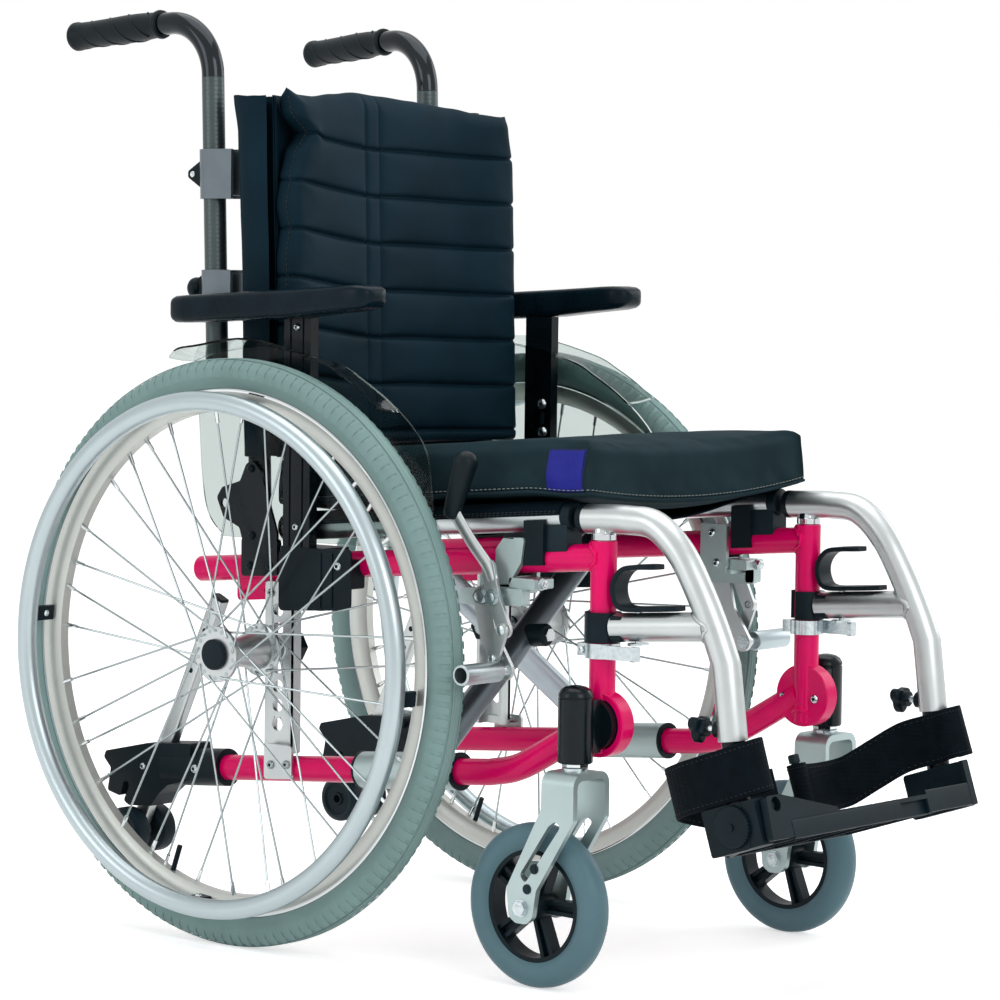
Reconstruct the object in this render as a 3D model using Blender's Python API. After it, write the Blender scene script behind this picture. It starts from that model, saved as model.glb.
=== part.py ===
"""Folding wheelchair for a child: two side frames joined by a scissor brace, 22 inch rear
wheels, 6 inch castors, swing-away leg rests with one flip-up footplate.

Lengths below are millimetres in the chair's frame: +Z up, the chair faces -Y and the
user's right side is -X. Helpers turn them into metres, and the last lines move the chair so
that the origin is on the floor under the middle of its length.
Everything on the right is built once and mirrored to the left, except the leg rest ends.
"""

import math

import bmesh
import bpy
from mathutils import Matrix, Vector

for old in list(bpy.data.objects):
    bpy.data.objects.remove(old, do_unlink=True)

MM = 0.001
GAP = 0.3  # between pieces that touch on the real chair

# Driving dimensions
FRAME_X = 160.0  # middle of a side frame's tubes
TILT = math.radians(4.6)  # rails and seat rise towards the front
TUBE_R = 12.5
AXLE = (157.0, 280.0)  # rear axle, y and z
WHEEL_X, TYRE_R, TYRE_SECTION = 228.0, 280.0, 16.0
HANDRIM_X, HANDRIM_R, HANDRIM_TUBE = 270.0, 240.0, 9.5
FRONT_Y = -234.0  # front tube, which is also the leg rest's pivot
CASTOR_X, STEM_Y, CASTOR_Y, CASTOR_R = 196.0, -232.5, -193.0, 75.0
CANE_LEAN = 0.03  # cane and push handle lean back by this much per mm of height
TOE_UP = math.radians(18.0)  # footplate
MIDDLE_Y = 4.34  # middle of the chair's length
FLIP_X, FLIP_N = 162.0, 33.0  # footplate hinge, from the middle and above the plate's base


def upper_z(y):
    """Height of the upper rail's middle line."""
    return 370.2 - math.tan(TILT) * (y - 15.5)


def lower_z(y):
    """Height of the lower rail's middle line."""
    return 170.5 - math.tan(TILT) * (y - 59.5)


def seat_z(y):
    """Height of the seat tube's middle line."""
    return 418.3 - math.tan(TILT) * (y + 118)


def cane_y(z):
    """The cane's middle line, for a height."""
    return 188 + CANE_LEAN * (z - 430)


def push_y(z):
    """The push handle's middle line, for a height."""
    return 246 + CANE_LEAN * (z - 521)


# Helpers that make solids
def made(bm, name="solid"):
    """An object of a bmesh given in millimetres, with its faces turned outwards."""
    bmesh.ops.scale(bm, vec=(MM, MM, MM), verts=bm.verts)
    bmesh.ops.remove_doubles(bm, verts=bm.verts, dist=1e-7)
    bmesh.ops.recalc_face_normals(bm, faces=bm.faces)
    mesh = bpy.data.meshes.new(name)
    bm.to_mesh(mesh)
    bm.free()
    obj = bpy.data.objects.new(name, mesh)
    bpy.context.scene.collection.objects.link(obj)
    return obj


def skin(rings, closed=False):
    """A solid through rings of points, capped at its ends, or joined into a ring when closed."""
    bm = bmesh.new()
    rows = [[bm.verts.new(p) for p in ring] for ring in rings]
    count = len(rows[0])
    spans = len(rows) if closed else len(rows) - 1
    for i in range(spans):
        a, b = rows[i], rows[(i + 1) % len(rows)]
        for k in range(count):
            n = (k + 1) % count
            bm.faces.new((a[k], a[n], b[n], b[k]))
    if not closed:
        bm.faces.new(rows[0])
        bm.faces.new(rows[-1])
    return made(bm)


def prism(points, lo, hi, axis="x"):
    """A flat outline pushed out along one axis. Its two numbers are the other two axes."""

    def place(p, t):
        return {"x": (t, p[0], p[1]), "y": (p[0], t, p[1]), "z": (p[0], p[1], t)}[axis]

    return skin([[place(p, lo) for p in points], [place(p, hi) for p in points]])


def box(x, y, z):
    """A box from its three (low, high) pairs."""
    return prism([(y[0], z[0]), (y[1], z[0]), (y[1], z[1]), (y[0], z[1])], x[0], x[1])


def ring_at(centre, direction, radius, count, second=None, turn=0.0):
    """Points of a circle or an ellipse round a direction."""
    normal = Vector(direction).normalized()
    side = Vector((1, 0, 0)) if abs(normal.x) < 0.9 else Vector((0, 1, 0))
    side = (side - normal * side.dot(normal)).normalized()
    up = normal.cross(side)
    second = second or radius
    angles = [turn + 2 * math.pi * k / count for k in range(count)]
    return [
        Vector(centre) + side * radius * math.cos(a) + up * second * math.sin(a)
        for a in angles
    ]


def cylinder(start, end, radius, count=16, end_radius=None, turn=0.0):
    """A round bar, or a cone with an end radius."""
    way = Vector(end) - Vector(start)
    return skin(
        [
            ring_at(start, way, radius, count, turn=turn),
            ring_at(end, way, end_radius or radius, count, turn=turn),
        ]
    )


def smooth_path(points, steps):
    """A Catmull-Rom curve through the points, with a number of steps between each pair."""
    points = [Vector(p) for p in points]
    ends = [2 * points[0] - points[1]] + points + [2 * points[-1] - points[-2]]
    out = []
    for i in range(1, len(ends) - 2):
        a, b, c, d = ends[i - 1 : i + 3]
        for s in range(steps):
            t = s / steps
            out.append(
                0.5
                * (
                    2 * b
                    + (c - a) * t
                    + (2 * a - 5 * b + 4 * c - d) * t * t
                    + (3 * b - a - 3 * c + d) * t * t * t
                )
            )
    return out + [points[-1]]


def sweep(points, radius, count=12, second=None):
    """A bar along a path."""
    points = [Vector(p) for p in points]
    rings = []
    for i, p in enumerate(points):
        way = points[min(i + 1, len(points) - 1)] - points[max(i - 1, 0)]
        rings.append(ring_at(p, way, radius, count, second))
    return skin(rings)


def turned(profile, centre, count, axis="x", start=0.0):
    """A profile of (along, radius) points turned round an axis through the centre.
    A profile that never touches the axis makes a ring, any other one a solid."""
    ring = min(r for _, r in profile) > 0.01
    bm = bmesh.new()

    def place(a, r, t):
        c, s = r * math.cos(t), r * math.sin(t)
        at = {"x": (a, c, s), "y": (c, a, s), "z": (c, s, a)}[axis]
        return Vector(centre) + Vector(at)

    rows = []
    for k in range(count):
        t = start + 2 * math.pi * k / count
        rows.append([bm.verts.new(place(a, r, t)) for a, r in profile])
    last = len(profile) if ring else len(profile) - 1
    for k in range(count):
        near, far = rows[k], rows[(k + 1) % count]
        for i in range(last):
            n = (i + 1) % len(profile)
            bm.faces.new((near[i], near[n], far[n], far[i]))
    bmesh.ops.remove_doubles(bm, verts=bm.verts, dist=1e-4)
    bmesh.ops.dissolve_degenerate(bm, edges=bm.edges, dist=1e-5)
    return made(bm)


def combined(base, others, operation):
    """The base after one exact Boolean with each of the others, which are used up."""
    for other in others:
        step = base.modifiers.new("step", "BOOLEAN")
        step.operation, step.object, step.solver = operation, other, "EXACT"
        graph = bpy.context.evaluated_depsgraph_get()
        mesh = bpy.data.meshes.new_from_object(base.evaluated_get(graph))
        base.modifiers.clear()
        base.data = mesh
        bpy.data.objects.remove(other, do_unlink=True)
    return base


def fused(*solids):
    """One body of solids that overlap each other."""
    return combined(solids[0], solids[1:], "UNION")


def cut(base, *tools):
    """The base with the tools taken away."""
    return combined(base, tools, "DIFFERENCE")


def together(solids):
    """Solids that don't meet, held in one mesh as one Boolean operand."""
    bm = bmesh.new()
    for solid in solids:
        bm.from_mesh(solid.data)
        bpy.data.objects.remove(solid, do_unlink=True)
    bmesh.ops.scale(bm, vec=(1 / MM, 1 / MM, 1 / MM), verts=bm.verts)
    return made(bm)


# Materials, one for each sub-part
def material(name, colour, roughness, metallic=0.0, alpha=1.0):
    """A Principled material."""
    out = bpy.data.materials.new(name)
    out.use_nodes = True
    node = out.node_tree.nodes["Principled BSDF"]
    node.inputs["Base Color"].default_value = (*colour, 1)
    node.inputs["Roughness"].default_value = roughness
    node.inputs["Metallic"].default_value = metallic
    node.inputs["Alpha"].default_value = alpha
    return out


COLOURS = {
    "red": ((0.75, 0.01, 0.08), 0.2, 0.0),
    "silver": ((0.62, 0.64, 0.64), 0.35, 1.0),
    "black": ((0.015, 0.02, 0.022), 0.45, 0.0),
    "tyre": ((0.21, 0.26, 0.25), 0.7, 0.0),
    "fabric": ((0.02, 0.03, 0.034), 0.6, 0.0),
    "clear": ((0.8, 0.85, 0.85), 0.1, 0.0, 0.3),
}
PIECES = {}


def piece(name, solid, colour, origin=(0, 0, 0)):
    """Names a solid, gives it its own material and puts its origin on its joint axis."""
    solid.name = solid.data.name = name
    solid.data.materials.clear()
    solid.data.materials.append(material(name, *COLOURS[colour]))
    for face in solid.data.polygons:
        face.material_index = 0
    at = Vector(origin) * MM
    solid.data.transform(Matrix.Translation(-at))
    solid.location = at
    solid.data.shade_smooth()
    solid.data.set_sharp_from_angle(angle=math.radians(35))
    PIECES[name] = (solid, colour)
    return solid


def mirrored(name, new_name):
    """A copy of a piece on the other side of the chair."""
    source, colour = PIECES[name]
    bm = bmesh.new()
    bm.from_mesh(source.data)
    bmesh.ops.scale(bm, vec=(-1, 1, 1), verts=bm.verts)
    bmesh.ops.reverse_faces(bm, faces=bm.faces)
    bmesh.ops.scale(bm, vec=(1 / MM, 1 / MM, 1 / MM), verts=bm.verts)
    at = source.location / MM
    bmesh.ops.translate(bm, vec=(-at.x, at.y, at.z), verts=bm.verts)
    piece(new_name, made(bm), colour, (-at.x, at.y, at.z))


# Side frame: one weldment of front tube, rails, castor boss and lug. Its saddle, its
# armrest clamp and its leg rest catch are fastened to it and share this node.
def side_frame():
    x = -FRAME_X
    front = cylinder((x, FRONT_Y, 214), (x, FRONT_Y, 405), 12, 12)
    upper = cylinder((x, 265, upper_z(265)), (x, FRONT_Y, upper_z(FRONT_Y)), TUBE_R, 10)
    bend = [(x, -104, lower_z(-104)), (x, -134, 190), (x, -164, 204), (x, -228, 241)]
    lower = sweep([(x, 300, lower_z(300))] + smooth_path(bend, 1), TUBE_R, 10)
    boss = cylinder((-169, FRONT_Y - 1, 240), (-151.5, FRONT_Y - 1, 240), 30, 16)
    lug = prism([(160, 327), (216, 322), (216, 350), (160, 352)], x - 2, x + 2)
    frame = fused(front, upper, lower, boss, lug)
    frame = cut(
        frame,
        cylinder((-175, FRONT_Y - 1, 240), (-158, FRONT_Y - 1, 240), 24, 14),
        cylinder((x, FRONT_Y, 345), (x, FRONT_Y, 410), 8.4, 10),
        cylinder((x - 5, 178, 334), (x + 5, 178, 334), 2.6, 6),
        cylinder((x - 5, 204, 332), (x + 5, 204, 332), 2.6, 6),
    )

    # Saddle that the seat tube rests in
    y0, y1 = -173.0, -150.0
    inner = TUBE_R + GAP
    seat0, rail0 = seat_z(y0), upper_z(y0)
    wall = inner + 3.2
    shape = [(x - wall, rail0 - 6), (x + wall, rail0 - 6), (x + wall, seat0 + 2)]
    shape += [(x - wall, seat0 + 2)]
    block = skin(
        [
            [(px, y0, pz) for px, pz in shape],
            [(px, y1, pz - math.tan(TILT) * (y1 - y0)) for px, pz in shape],
        ]
    )
    tube = cylinder((x, y0 - 20, seat_z(y0 - 20)), (x, y1 + 20, seat_z(y1 + 20)), inner, 14)
    top = box((x - inner, x + inner), (y0 - 20, y1 + 20), (seat0 + 1.5, seat0 + 40))
    block = cut(block, fused(tube, top))

    # Armrest clamp round the upper rail, with a socket for the armrest's post
    clamp = box((-189.5, -147.5), (68, 137), (322, 381))
    clamp = cut(clamp, box((-187.9, -176.1), (98.6, 133.4), (325, 390)))

    # Catch for the leg rest's latch: a ring clamped round the front tube, with an arm
    ring = cylinder((x, FRONT_Y, 299.5), (x, FRONT_Y, 313), 16, 12)
    arm = box((-174.5, -171), (-279, FRONT_Y), (300, 312.5))
    foot = box((-175, -166), (-281, -276.5), (299.5, 313))
    ear = box((-165, -155), (-222, -208), (300.5, 312))
    return fused(frame, block, clamp, ring, arm, foot, ear)


piece("side_frame_right", side_frame(), "red")


# Axle plate: a channel with a column of axle holes. The axle's receiver is screwed in
# one of them and the push-button axle stands in the receiver.
def axle_plate():
    y0, y1 = 140.0, 174.0
    channel = box((-167, -152.5), (y0, y1), (178.5, 344))
    channel = cut(channel, box((-163, -140), (y0 + 4, y1 - 4), (184, 338)))
    channel = cut(
        channel,
        *[
            cylinder((-170, AXLE[0], z), (-160, AXLE[0], z), 6.5, 6)
            for z in (206, 224.5, 243, 261.5, 298.5, 317)
        ],
    )
    # the lug of the side frame stands inside the channel's top
    channel = cut(channel, box((-162.4, -157.6), (150, 200), (318, 352)))
    shell = prism([(130, 156), (166, 153), (166, 188), (130, 188)], -176, -172.8)
    bridge = box((-174.5, -160), (y0 + 1, 165), (180, 187))
    receiver = cylinder((-186, *AXLE), (-138, *AXLE), 8, 10)
    nut = cylinder((-152, *AXLE), (-140, *AXLE), 15, 10)
    collar = cylinder((-172, *AXLE), (-165, *AXLE), 14, 10)
    web = cylinder((-166, *AXLE), (-150, *AXLE), 11, 10)
    axle = cylinder((-246, *AXLE), (-180, *AXLE), 6, 10)
    return fused(channel, shell, bridge, receiver, nut, collar, web, axle)


piece("axle_plate_right", axle_plate(), "silver")


# Rear wheel: rim, 36 spokes crossing from two flanges, and a waisted hub with a cap
def rear_wheel():
    centre = (0, *AXLE)
    x = -WHEEL_X
    rim = turned(
        [(x - 11, 250), (x - 11, 240), (x - 6, 231), (x + 6, 231), (x + 11, 240), (x + 11, 250)],
        centre,
        32,
    )
    hub = turned(
        [(-259, 0), (-258, 14), (-254, 15), (-254, 26.5), (-249, 26.5), (-246, 18)]
        + [(-228, 13.5), (-206, 17), (-194, 18), (-193.5, 25.5), (-189.5, 25.5)]
        + [(-188, 18), (-188, 0)],
        centre,
        14,
        start=0.05,
    )
    spokes = []
    for flange, hub_radius, rim_x in ((-251.5, 22.8, x - 2.5), (-191.7, 22, x + 2.5)):
        for k in range(18):
            side = 1 if k % 2 else -1
            base = 2 * math.pi * (k + (0.53 if flange < x else 0.03)) / 18
            reach = base + side * math.radians(62)
            y, z = math.cos(base) * hub_radius, math.sin(base) * hub_radius
            near = (flange + side * 1.6, AXLE[0] + y, AXLE[1] + z)
            y, z = math.cos(reach) * 234, math.sin(reach) * 234
            far = (rim_x + side * 1.2, AXLE[0] + y, AXLE[1] + z)
            spokes.append(cylinder(near, far, 1.3, 3))
    wheel = fused(rim, together(spokes), hub)
    return cut(wheel, cylinder((-250, *AXLE), (-180, *AXLE), 8.4, 10))


def rear_tyre():
    x = -WHEEL_X
    half = [(x - 10, 251), (x - 16, 263), (x - 12, 275)]
    profile = half + [(x, TYRE_R)] + [(2 * x - a, r) for a, r in reversed(half)]
    return turned(profile, (0, *AXLE), 40)


piece("rear_wheel_right", rear_wheel(), "silver", (-WHEEL_X, *AXLE))
piece("rear_tyre_right", rear_tyre(), "tyre", (-WHEEL_X, *AXLE))


def handrim():
    profile = []
    for k in range(6):
        a = 2 * math.pi * k / 6
        across, out = HANDRIM_TUBE * math.cos(a), HANDRIM_TUBE * math.sin(a)
        profile.append((across - HANDRIM_X, HANDRIM_R + out))
    ring = turned(profile, (0, *AXLE), 32)
    tabs = []
    for k in range(4):
        a = k * math.pi / 2 + 0.1
        tab = box((-HANDRIM_X + 2, -WHEEL_X - 11 - GAP), (-7, 7), (235, 240.5))
        tab.data.transform(
            Matrix.Translation((0, AXLE[0] * MM, AXLE[1] * MM))
            @ Matrix.Rotation(a, 4, "X")
        )
        tabs.append(tab)
    return fused(ring, *tabs)


piece("handrim_right", handrim(), "silver", (-HANDRIM_X, *AXLE))


# Castor: housing bolted in the frame's boss, slotted fork, wheel with a bonded tyre
def castor_housing():
    body = turned(
        [(207.5, 0), (207.5, 16), (268, 16), (275, 11), (277.5, 0)],
        (-CASTOR_X, STEM_Y, 0),
        12,
        "z",
    )
    neck = box((-190, -174), (STEM_Y - 13, STEM_Y + 13), (216, 264))
    plug = cylinder((-176, FRONT_Y - 1, 240), (-158.6, FRONT_Y - 1, 240), 23.4, 14)
    bore = cylinder((-CASTOR_X, STEM_Y, 200), (-CASTOR_X, STEM_Y, 262), 8.3, 10)
    return cut(fused(body, neck, plug), bore)


def castor_fork():
    x = -CASTOR_X
    leg = [
        (STEM_Y - 19, 194),
        (STEM_Y - 15, 199),
        (STEM_Y - 9, 200.5),
        (STEM_Y + 12, 200.5),
        (STEM_Y + 17, 197),
        (STEM_Y + 18, 166),
        (CASTOR_Y + 17, 92),
        (CASTOR_Y + 14, 66),
        (CASTOR_Y + 6, 61),
        (CASTOR_Y - 6, 61),
        (CASTOR_Y - 13, 67),
        (CASTOR_Y - 17, 92),
        (STEM_Y - 19, 158),
    ]
    slot = [(STEM_Y - 5, 153), (STEM_Y + 2, 157), (STEM_Y + 9, 152)]
    slot += [(CASTOR_Y + 2, 105), (CASTOR_Y - 4, 98), (CASTOR_Y - 9, 104)]
    body = prism(leg, x - 26, x + 26)
    slot = prism(slot, x - 40, x + 40)
    inside = box((x - 20, x + 20), (-300, -100), (40, 192))
    body = cut(body, inside, slot)
    roof = cylinder((x, STEM_Y, 199), (x, STEM_Y, 206), 12, 10)
    stem = cylinder((x, STEM_Y, 195), (x, STEM_Y, 260), 7.6, 10)
    axle = cylinder((x - 29, CASTOR_Y, CASTOR_R), (x + 29, CASTOR_Y, CASTOR_R), 4, 8)
    heads = []
    for side in (-1, 1):
        at = x + side * 26
        out = at + side * 3.5
        heads.append(
            cylinder((at - side, CASTOR_Y, CASTOR_R), (out, CASTOR_Y, CASTOR_R), 7, 6)
        )
    return fused(body, roof, stem, axle, *heads)


def castor_wheel():
    x = -CASTOR_X
    centre = (0, CASTOR_Y, CASTOR_R)
    tyre = turned(
        [
            (x - 8, 50),
            (x - 14, 63),
            (x - 6, CASTOR_R),
            (x + 6, CASTOR_R),
            (x + 14, 63),
            (x + 8, 50),
        ],
        centre,
        24,
    )
    hub = turned([(x - 17, 0), (x - 17, 14), (x + 17, 14), (x + 17, 0)], centre, 10)
    spokes = []
    for k in range(5):
        a = 2 * math.pi * k / 5 + 0.3
        spoke = box((x - 6, x + 6), (-7, 7), (8, 52))
        spoke.data.transform(
            Matrix.Translation((0, CASTOR_Y * MM, CASTOR_R * MM))
            @ Matrix.Rotation(a, 4, "X")
        )
        spokes.append(spoke)
    wheel = fused(tyre, hub, *spokes)
    return cut(wheel, cylinder((x - 20, *centre[1:]), (x + 20, *centre[1:]), 4.5, 8))


STEM = (-CASTOR_X, STEM_Y, 200)
piece("castor_housing_right", castor_housing(), "black")
piece("castor_fork_right", castor_fork(), "silver", STEM)
piece("castor_wheel_right", castor_wheel(), "black", (-CASTOR_X, CASTOR_Y, CASTOR_R))

# Anti-tip: a moulding on the rail's rear end, a bar that slides in it, twin wheels
BAR_TOP, BAR_FOOT = Vector((-FRAME_X, 241, 322)), Vector((-FRAME_X, 348, 90))
ANTITIP_AXLE = (348, 84)


def antitip_bracket():
    outline = [
        (266, 178),
        (325, 173.6),
        (383, 161),
        (386, 154.5),
        (376, 144.5),
        (380.6, 121.3),
        (362, 117),
        (358, 132),
        (352, 134),
        (350, 128),
        (358, 113),
        (350, 109),
        (320, 111),
        (309.5, 124),
        (297, 134),
        (266, 141.7),
    ]
    body = prism(outline, -FRAME_X - 15, -FRAME_X + 15)
    socket = cylinder(
        (-FRAME_X, 228, lower_z(228)), (-FRAME_X, 306, lower_z(306)), 18.5, 14
    )
    bracket = fused(body, socket)
    rail = cylinder(
        (-FRAME_X, 200, lower_z(200)), (-FRAME_X, 301, lower_z(301)), 13.2, 14
    )
    return cut(bracket, rail, bar_solid(8.4, 30))


def bar_solid(half, extra=0.0):
    """The anti-tip bar, or a wider and longer copy that cuts the slot it slides in."""
    way = (BAR_FOOT - BAR_TOP).normalized()
    across = Vector((0, -way.z, way.y))
    rings = []
    for p in (BAR_TOP - way * extra, BAR_FOOT + way * extra):
        rings.append(
            [
                p + Vector((sx * (half - 2), 0, 0)) + across * sy * half
                for sx, sy in ((-1, -1), (1, -1), (1, 1), (-1, 1))
            ]
        )
    return skin(rings)


def antitip_bar():
    foot = cylinder((-FRAME_X - 6, *ANTITIP_AXLE), (-FRAME_X + 6, *ANTITIP_AXLE), 9, 10)
    bar = fused(bar_solid(8), foot)
    hole = cylinder((-180, *ANTITIP_AXLE), (-140, *ANTITIP_AXLE), 4.4, 8)
    return cut(bar, hole)


def antitip_wheels():
    parts = [cylinder((-180, *ANTITIP_AXLE), (-140, *ANTITIP_AXLE), 4, 8)]
    for side in (-1, 1):
        at = -FRAME_X + side * 8
        out = -FRAME_X + side * 28
        lo, hi = min(at, out), max(at, out)
        profile = [(lo, 0), (lo, 20), (lo + 3, 24), (hi - 3, 24), (hi, 20), (hi, 0)]
        parts.append(turned(profile, (0, *ANTITIP_AXLE), 14))
    return fused(*parts)


piece("antitip_bracket_right", antitip_bracket(), "black")
piece("antitip_bar_right", antitip_bar(), "silver", tuple(BAR_FOOT))
piece("antitip_wheels_right", antitip_wheels(), "black", (-FRAME_X, *ANTITIP_AXLE))


# Brake: a mount clamped on the rail, a lever, a link and an arm with the tube that
# presses on the tyre. Each moving plate has its own layer.
ARM_PIVOT, LEVER_PIVOT = (-113.0, 349.0), (-130.5, 349.0)
RIVET_LEVER, RIVET_ARM = (-144.0, 320.0), (-134.0, 293.0)


def plate(points, radius, x0, x1):
    """A flat strip with round ends through (y, z) points."""
    points = [Vector(p) for p in points]
    ways = [(b - a).normalized() for a, b in zip(points, points[1:])]

    def end(centre, way, sign):
        start = math.atan2(way.y, way.x) + (0 if sign > 0 else math.pi)
        turns = [start + math.pi * (0.5 - k / 4) for k in range(5)]
        return [(centre.x + radius * math.cos(t), centre.y + radius * math.sin(t)) for t in turns]

    left, right = [], []
    for i in range(1, len(points) - 1):
        middle = (ways[i - 1] + ways[i]).normalized()
        out = Vector((-middle.y, middle.x)) * radius / middle.dot(ways[i])
        left.append(tuple(points[i] + out))
        right.append(tuple(points[i] - out))
    outline = left + end(points[-1], ways[-1], 1) + right[::-1] + end(points[0], ways[0], -1)
    return prism(outline, x0, x1)


def brake_mount():
    casting = prism([(-142.5, 361), (-104, 358), (-104, 398), (-142.5, 403)], -178, -150)
    rail_start, rail_end = [(-FRAME_X, y, upper_z(y)) for y in (-190, -60)]
    rail = cylinder(rail_start, rail_end, 12.85, 10)
    open_side = box((-FRAME_X, -100), (-190, -60), (368, 410))
    casting = cut(casting, rail, open_side)
    under = box((-178, -150), (-150, -104), (352, 366))
    bar = prism([(-160, 342), (-83, 339.5), (-83, 355), (-160, 358)], -182, -174)
    nose = box((-185.5, -174), (-160.5, -150), (343, 357.2))
    inner = box((-149, -144), (-148, -117), (357, 401))
    tie = box((-158, -146), (-146, -119), (354, 360))
    bolts = [
        cylinder((-190, *ARM_PIVOT), (-180, *ARM_PIVOT), 4, 8),
        cylinder((-191, *ARM_PIVOT), (-186.9, *ARM_PIVOT), 7, 6),
        cylinder((-195, *LEVER_PIVOT), (-180, *LEVER_PIVOT), 4, 8),
        cylinder((-195, *LEVER_PIVOT), (-191.4, *LEVER_PIVOT), 7, 6),
    ]
    mount = fused(casting, under, bar, nose, inner, tie, *bolts)
    return cut(mount, cylinder(rail_start, rail_end, 12.8, 10))


def brake_arm():
    strip = plate([ARM_PIVOT, (-122, 312), (-141, 283)], 9.5, -186.5, -182.4)
    pad = cylinder((-250, -143, 283), (-198, -143, 283), 9.6, 12)
    bolt = cylinder((-200, -143, 283), (-184, -143, 283), 4.6, 8)
    bore = cylinder((-252, -143, 283), (-202, -143, 283), 7.2, 8)
    arm = cut(fused(strip, bolt, pad), bore)
    return cut(arm, cylinder((-200, *ARM_PIVOT), (-170, *ARM_PIVOT), 4.6, 8))


def brake_lever():
    strip = plate([(-124, 376), LEVER_PIVOT, RIVET_LEVER], 7.5, -191, -187)
    rod = sweep(
        smooth_path([(-189, -128, 364), (-190, -118, 378), (-194, -101, 404), (-197, -87, 428)], 2),
        5,
        6,
    )
    grip = sweep(
        [
            (-197, -84.5, 421),
            (-197, -85.5, 424),
            (-198, -102, 468),
            (-198, -104.5, 475),
        ],
        11.5,
        10,
    )
    lever = fused(strip, rod, grip)
    hole = cylinder((-200, *LEVER_PIVOT), (-170, *LEVER_PIVOT), 4.6, 8)
    rivet = cylinder((-200, *RIVET_LEVER), (-170, *RIVET_LEVER), 3.6, 8)
    return cut(lever, hole, rivet)


def brake_link():
    strip = plate([RIVET_LEVER, RIVET_ARM], 6.2, -195, -191.4)
    pins = [
        cylinder((-196, *RIVET_LEVER), (-187.4, *RIVET_LEVER), 3, 8),
        cylinder((-197, *RIVET_LEVER), (-194, *RIVET_LEVER), 4.8, 6),
        cylinder((-197, *RIVET_ARM), (-186.9, *RIVET_ARM), 4.4, 6),
    ]
    return fused(strip, *pins)


piece("brake_mount_right", brake_mount(), "silver")
piece("brake_lever_right", brake_lever(), "silver", (-189, *LEVER_PIVOT))
piece("brake_arm_right", brake_arm(), "silver", (-184, *ARM_PIVOT))
piece("brake_link_right", brake_link(), "silver", (-193, *RIVET_LEVER))


# Leg rest: bent tube with a pivot pin, a release lever through its lower tube, and a
# leg extension with a clamping knob
HANGER_PATH = [
    (-FRAME_X, -210, 423.5),
    (-FRAME_X, -236, 424.7),
    (-FRAME_X, -262, 425),
    (-FRAME_X, -292, 421.5),
    (-FRAME_X, -320, 399),
    (-FRAME_X, -342, 365),
    (-FRAME_X, -360, 330),
    (-FRAME_X, -371.5, 303),
    (-FRAME_X, -380, 237),
]
SHIN = (Vector(HANGER_PATH[-1]) - Vector(HANGER_PATH[-2])).normalized()
RELEASE_Y = -274.5


def hanger():
    x = -FRAME_X
    path = HANGER_PATH[:2] + smooth_path(HANGER_PATH[2:5], 2)[:-1] + HANGER_PATH[4:]
    tube = sweep(path, 13.2, 10)
    lower = cylinder((x, -249, 328), (x, -352, 335.5), 13, 10)
    collar = cylinder((x, FRONT_Y, 405.4), (x, FRONT_Y, 418), 10.2, 10)
    pin = cylinder((x, FRONT_Y, 350), (x, FRONT_Y, 410), 7.9, 10)
    clip = cylinder((x, FRONT_Y, 314), (x, FRONT_Y, 341), 16.8, 12)
    shell = fused(clip, box((x - 10.5, x + 10.5), (-258, -245), (316, 339)))
    opening = cylinder((x, FRONT_Y, 300), (x, FRONT_Y, 350), 12.8, 12)
    mouth = prism([(0, 0), (60, 14), (60, 60), (18, 60)], 300, 350, "z")
    mouth.data.transform(Matrix.Translation((x * MM, FRONT_Y * MM, 0)))
    shell = cut(shell, opening, mouth)
    body = fused(tube, lower, collar, pin, shell)
    start, end = Vector(HANGER_PATH[-1]), Vector(HANGER_PATH[-2])
    bore = cylinder(start + SHIN * 20, end - SHIN * 6, 11, 12)
    shaft = cylinder((x, RELEASE_Y, 300), (x, RELEASE_Y, 360), 3.6, 8)
    knob = start - SHIN * 9
    thread = cylinder(knob, knob + Vector((0, 30, 0)), 4, 8)
    return cut(body, bore, shaft, thread)


def release_lever():
    x = -FRAME_X
    line = smooth_path(
        [
            (x, -321, 349.5),
            (x, -290, 347.2),
            (x, -262, 346.2),
            (x, -253, 355),
            (x, -252.4, 369),
            (x, -262, 381),
            (x, -279, 384),
            (x, -297, 385),
        ],
        2,
    )
    rings = []
    for i, p in enumerate(line):
        way = line[min(i + 1, len(line) - 1)] - line[max(i - 1, 0)]
        across = Vector((0, -way.z, way.y)).normalized() * 2.3
        rings.append(
            [
                p + Vector((-11, 0, 0)) - across,
                p + Vector((11, 0, 0)) - across,
                p + Vector((11, 0, 0)) + across,
                p + Vector((-11, 0, 0)) + across,
            ]
        )
    strip = skin(rings)
    shaft = cylinder((x, RELEASE_Y, 313.6), (x, RELEASE_Y, 348), 3, 8)
    pawl = prism(
        [(x - 12, RELEASE_Y - 3), (x + 12, RELEASE_Y - 3), (x + 11, RELEASE_Y + 4)]
        + [(x + 5, RELEASE_Y + 9), (x - 5, RELEASE_Y + 9), (x - 11, RELEASE_Y + 4)],
        313.4,
        315.4,
        "z",
    )
    return fused(strip, shaft, pawl)


def extension_tube():
    start = Vector(HANGER_PATH[-2]) + SHIN * 6
    end = Vector(HANGER_PATH[-1]) + SHIN * 60
    return cylinder(start, end, 10.5, 12)


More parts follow.
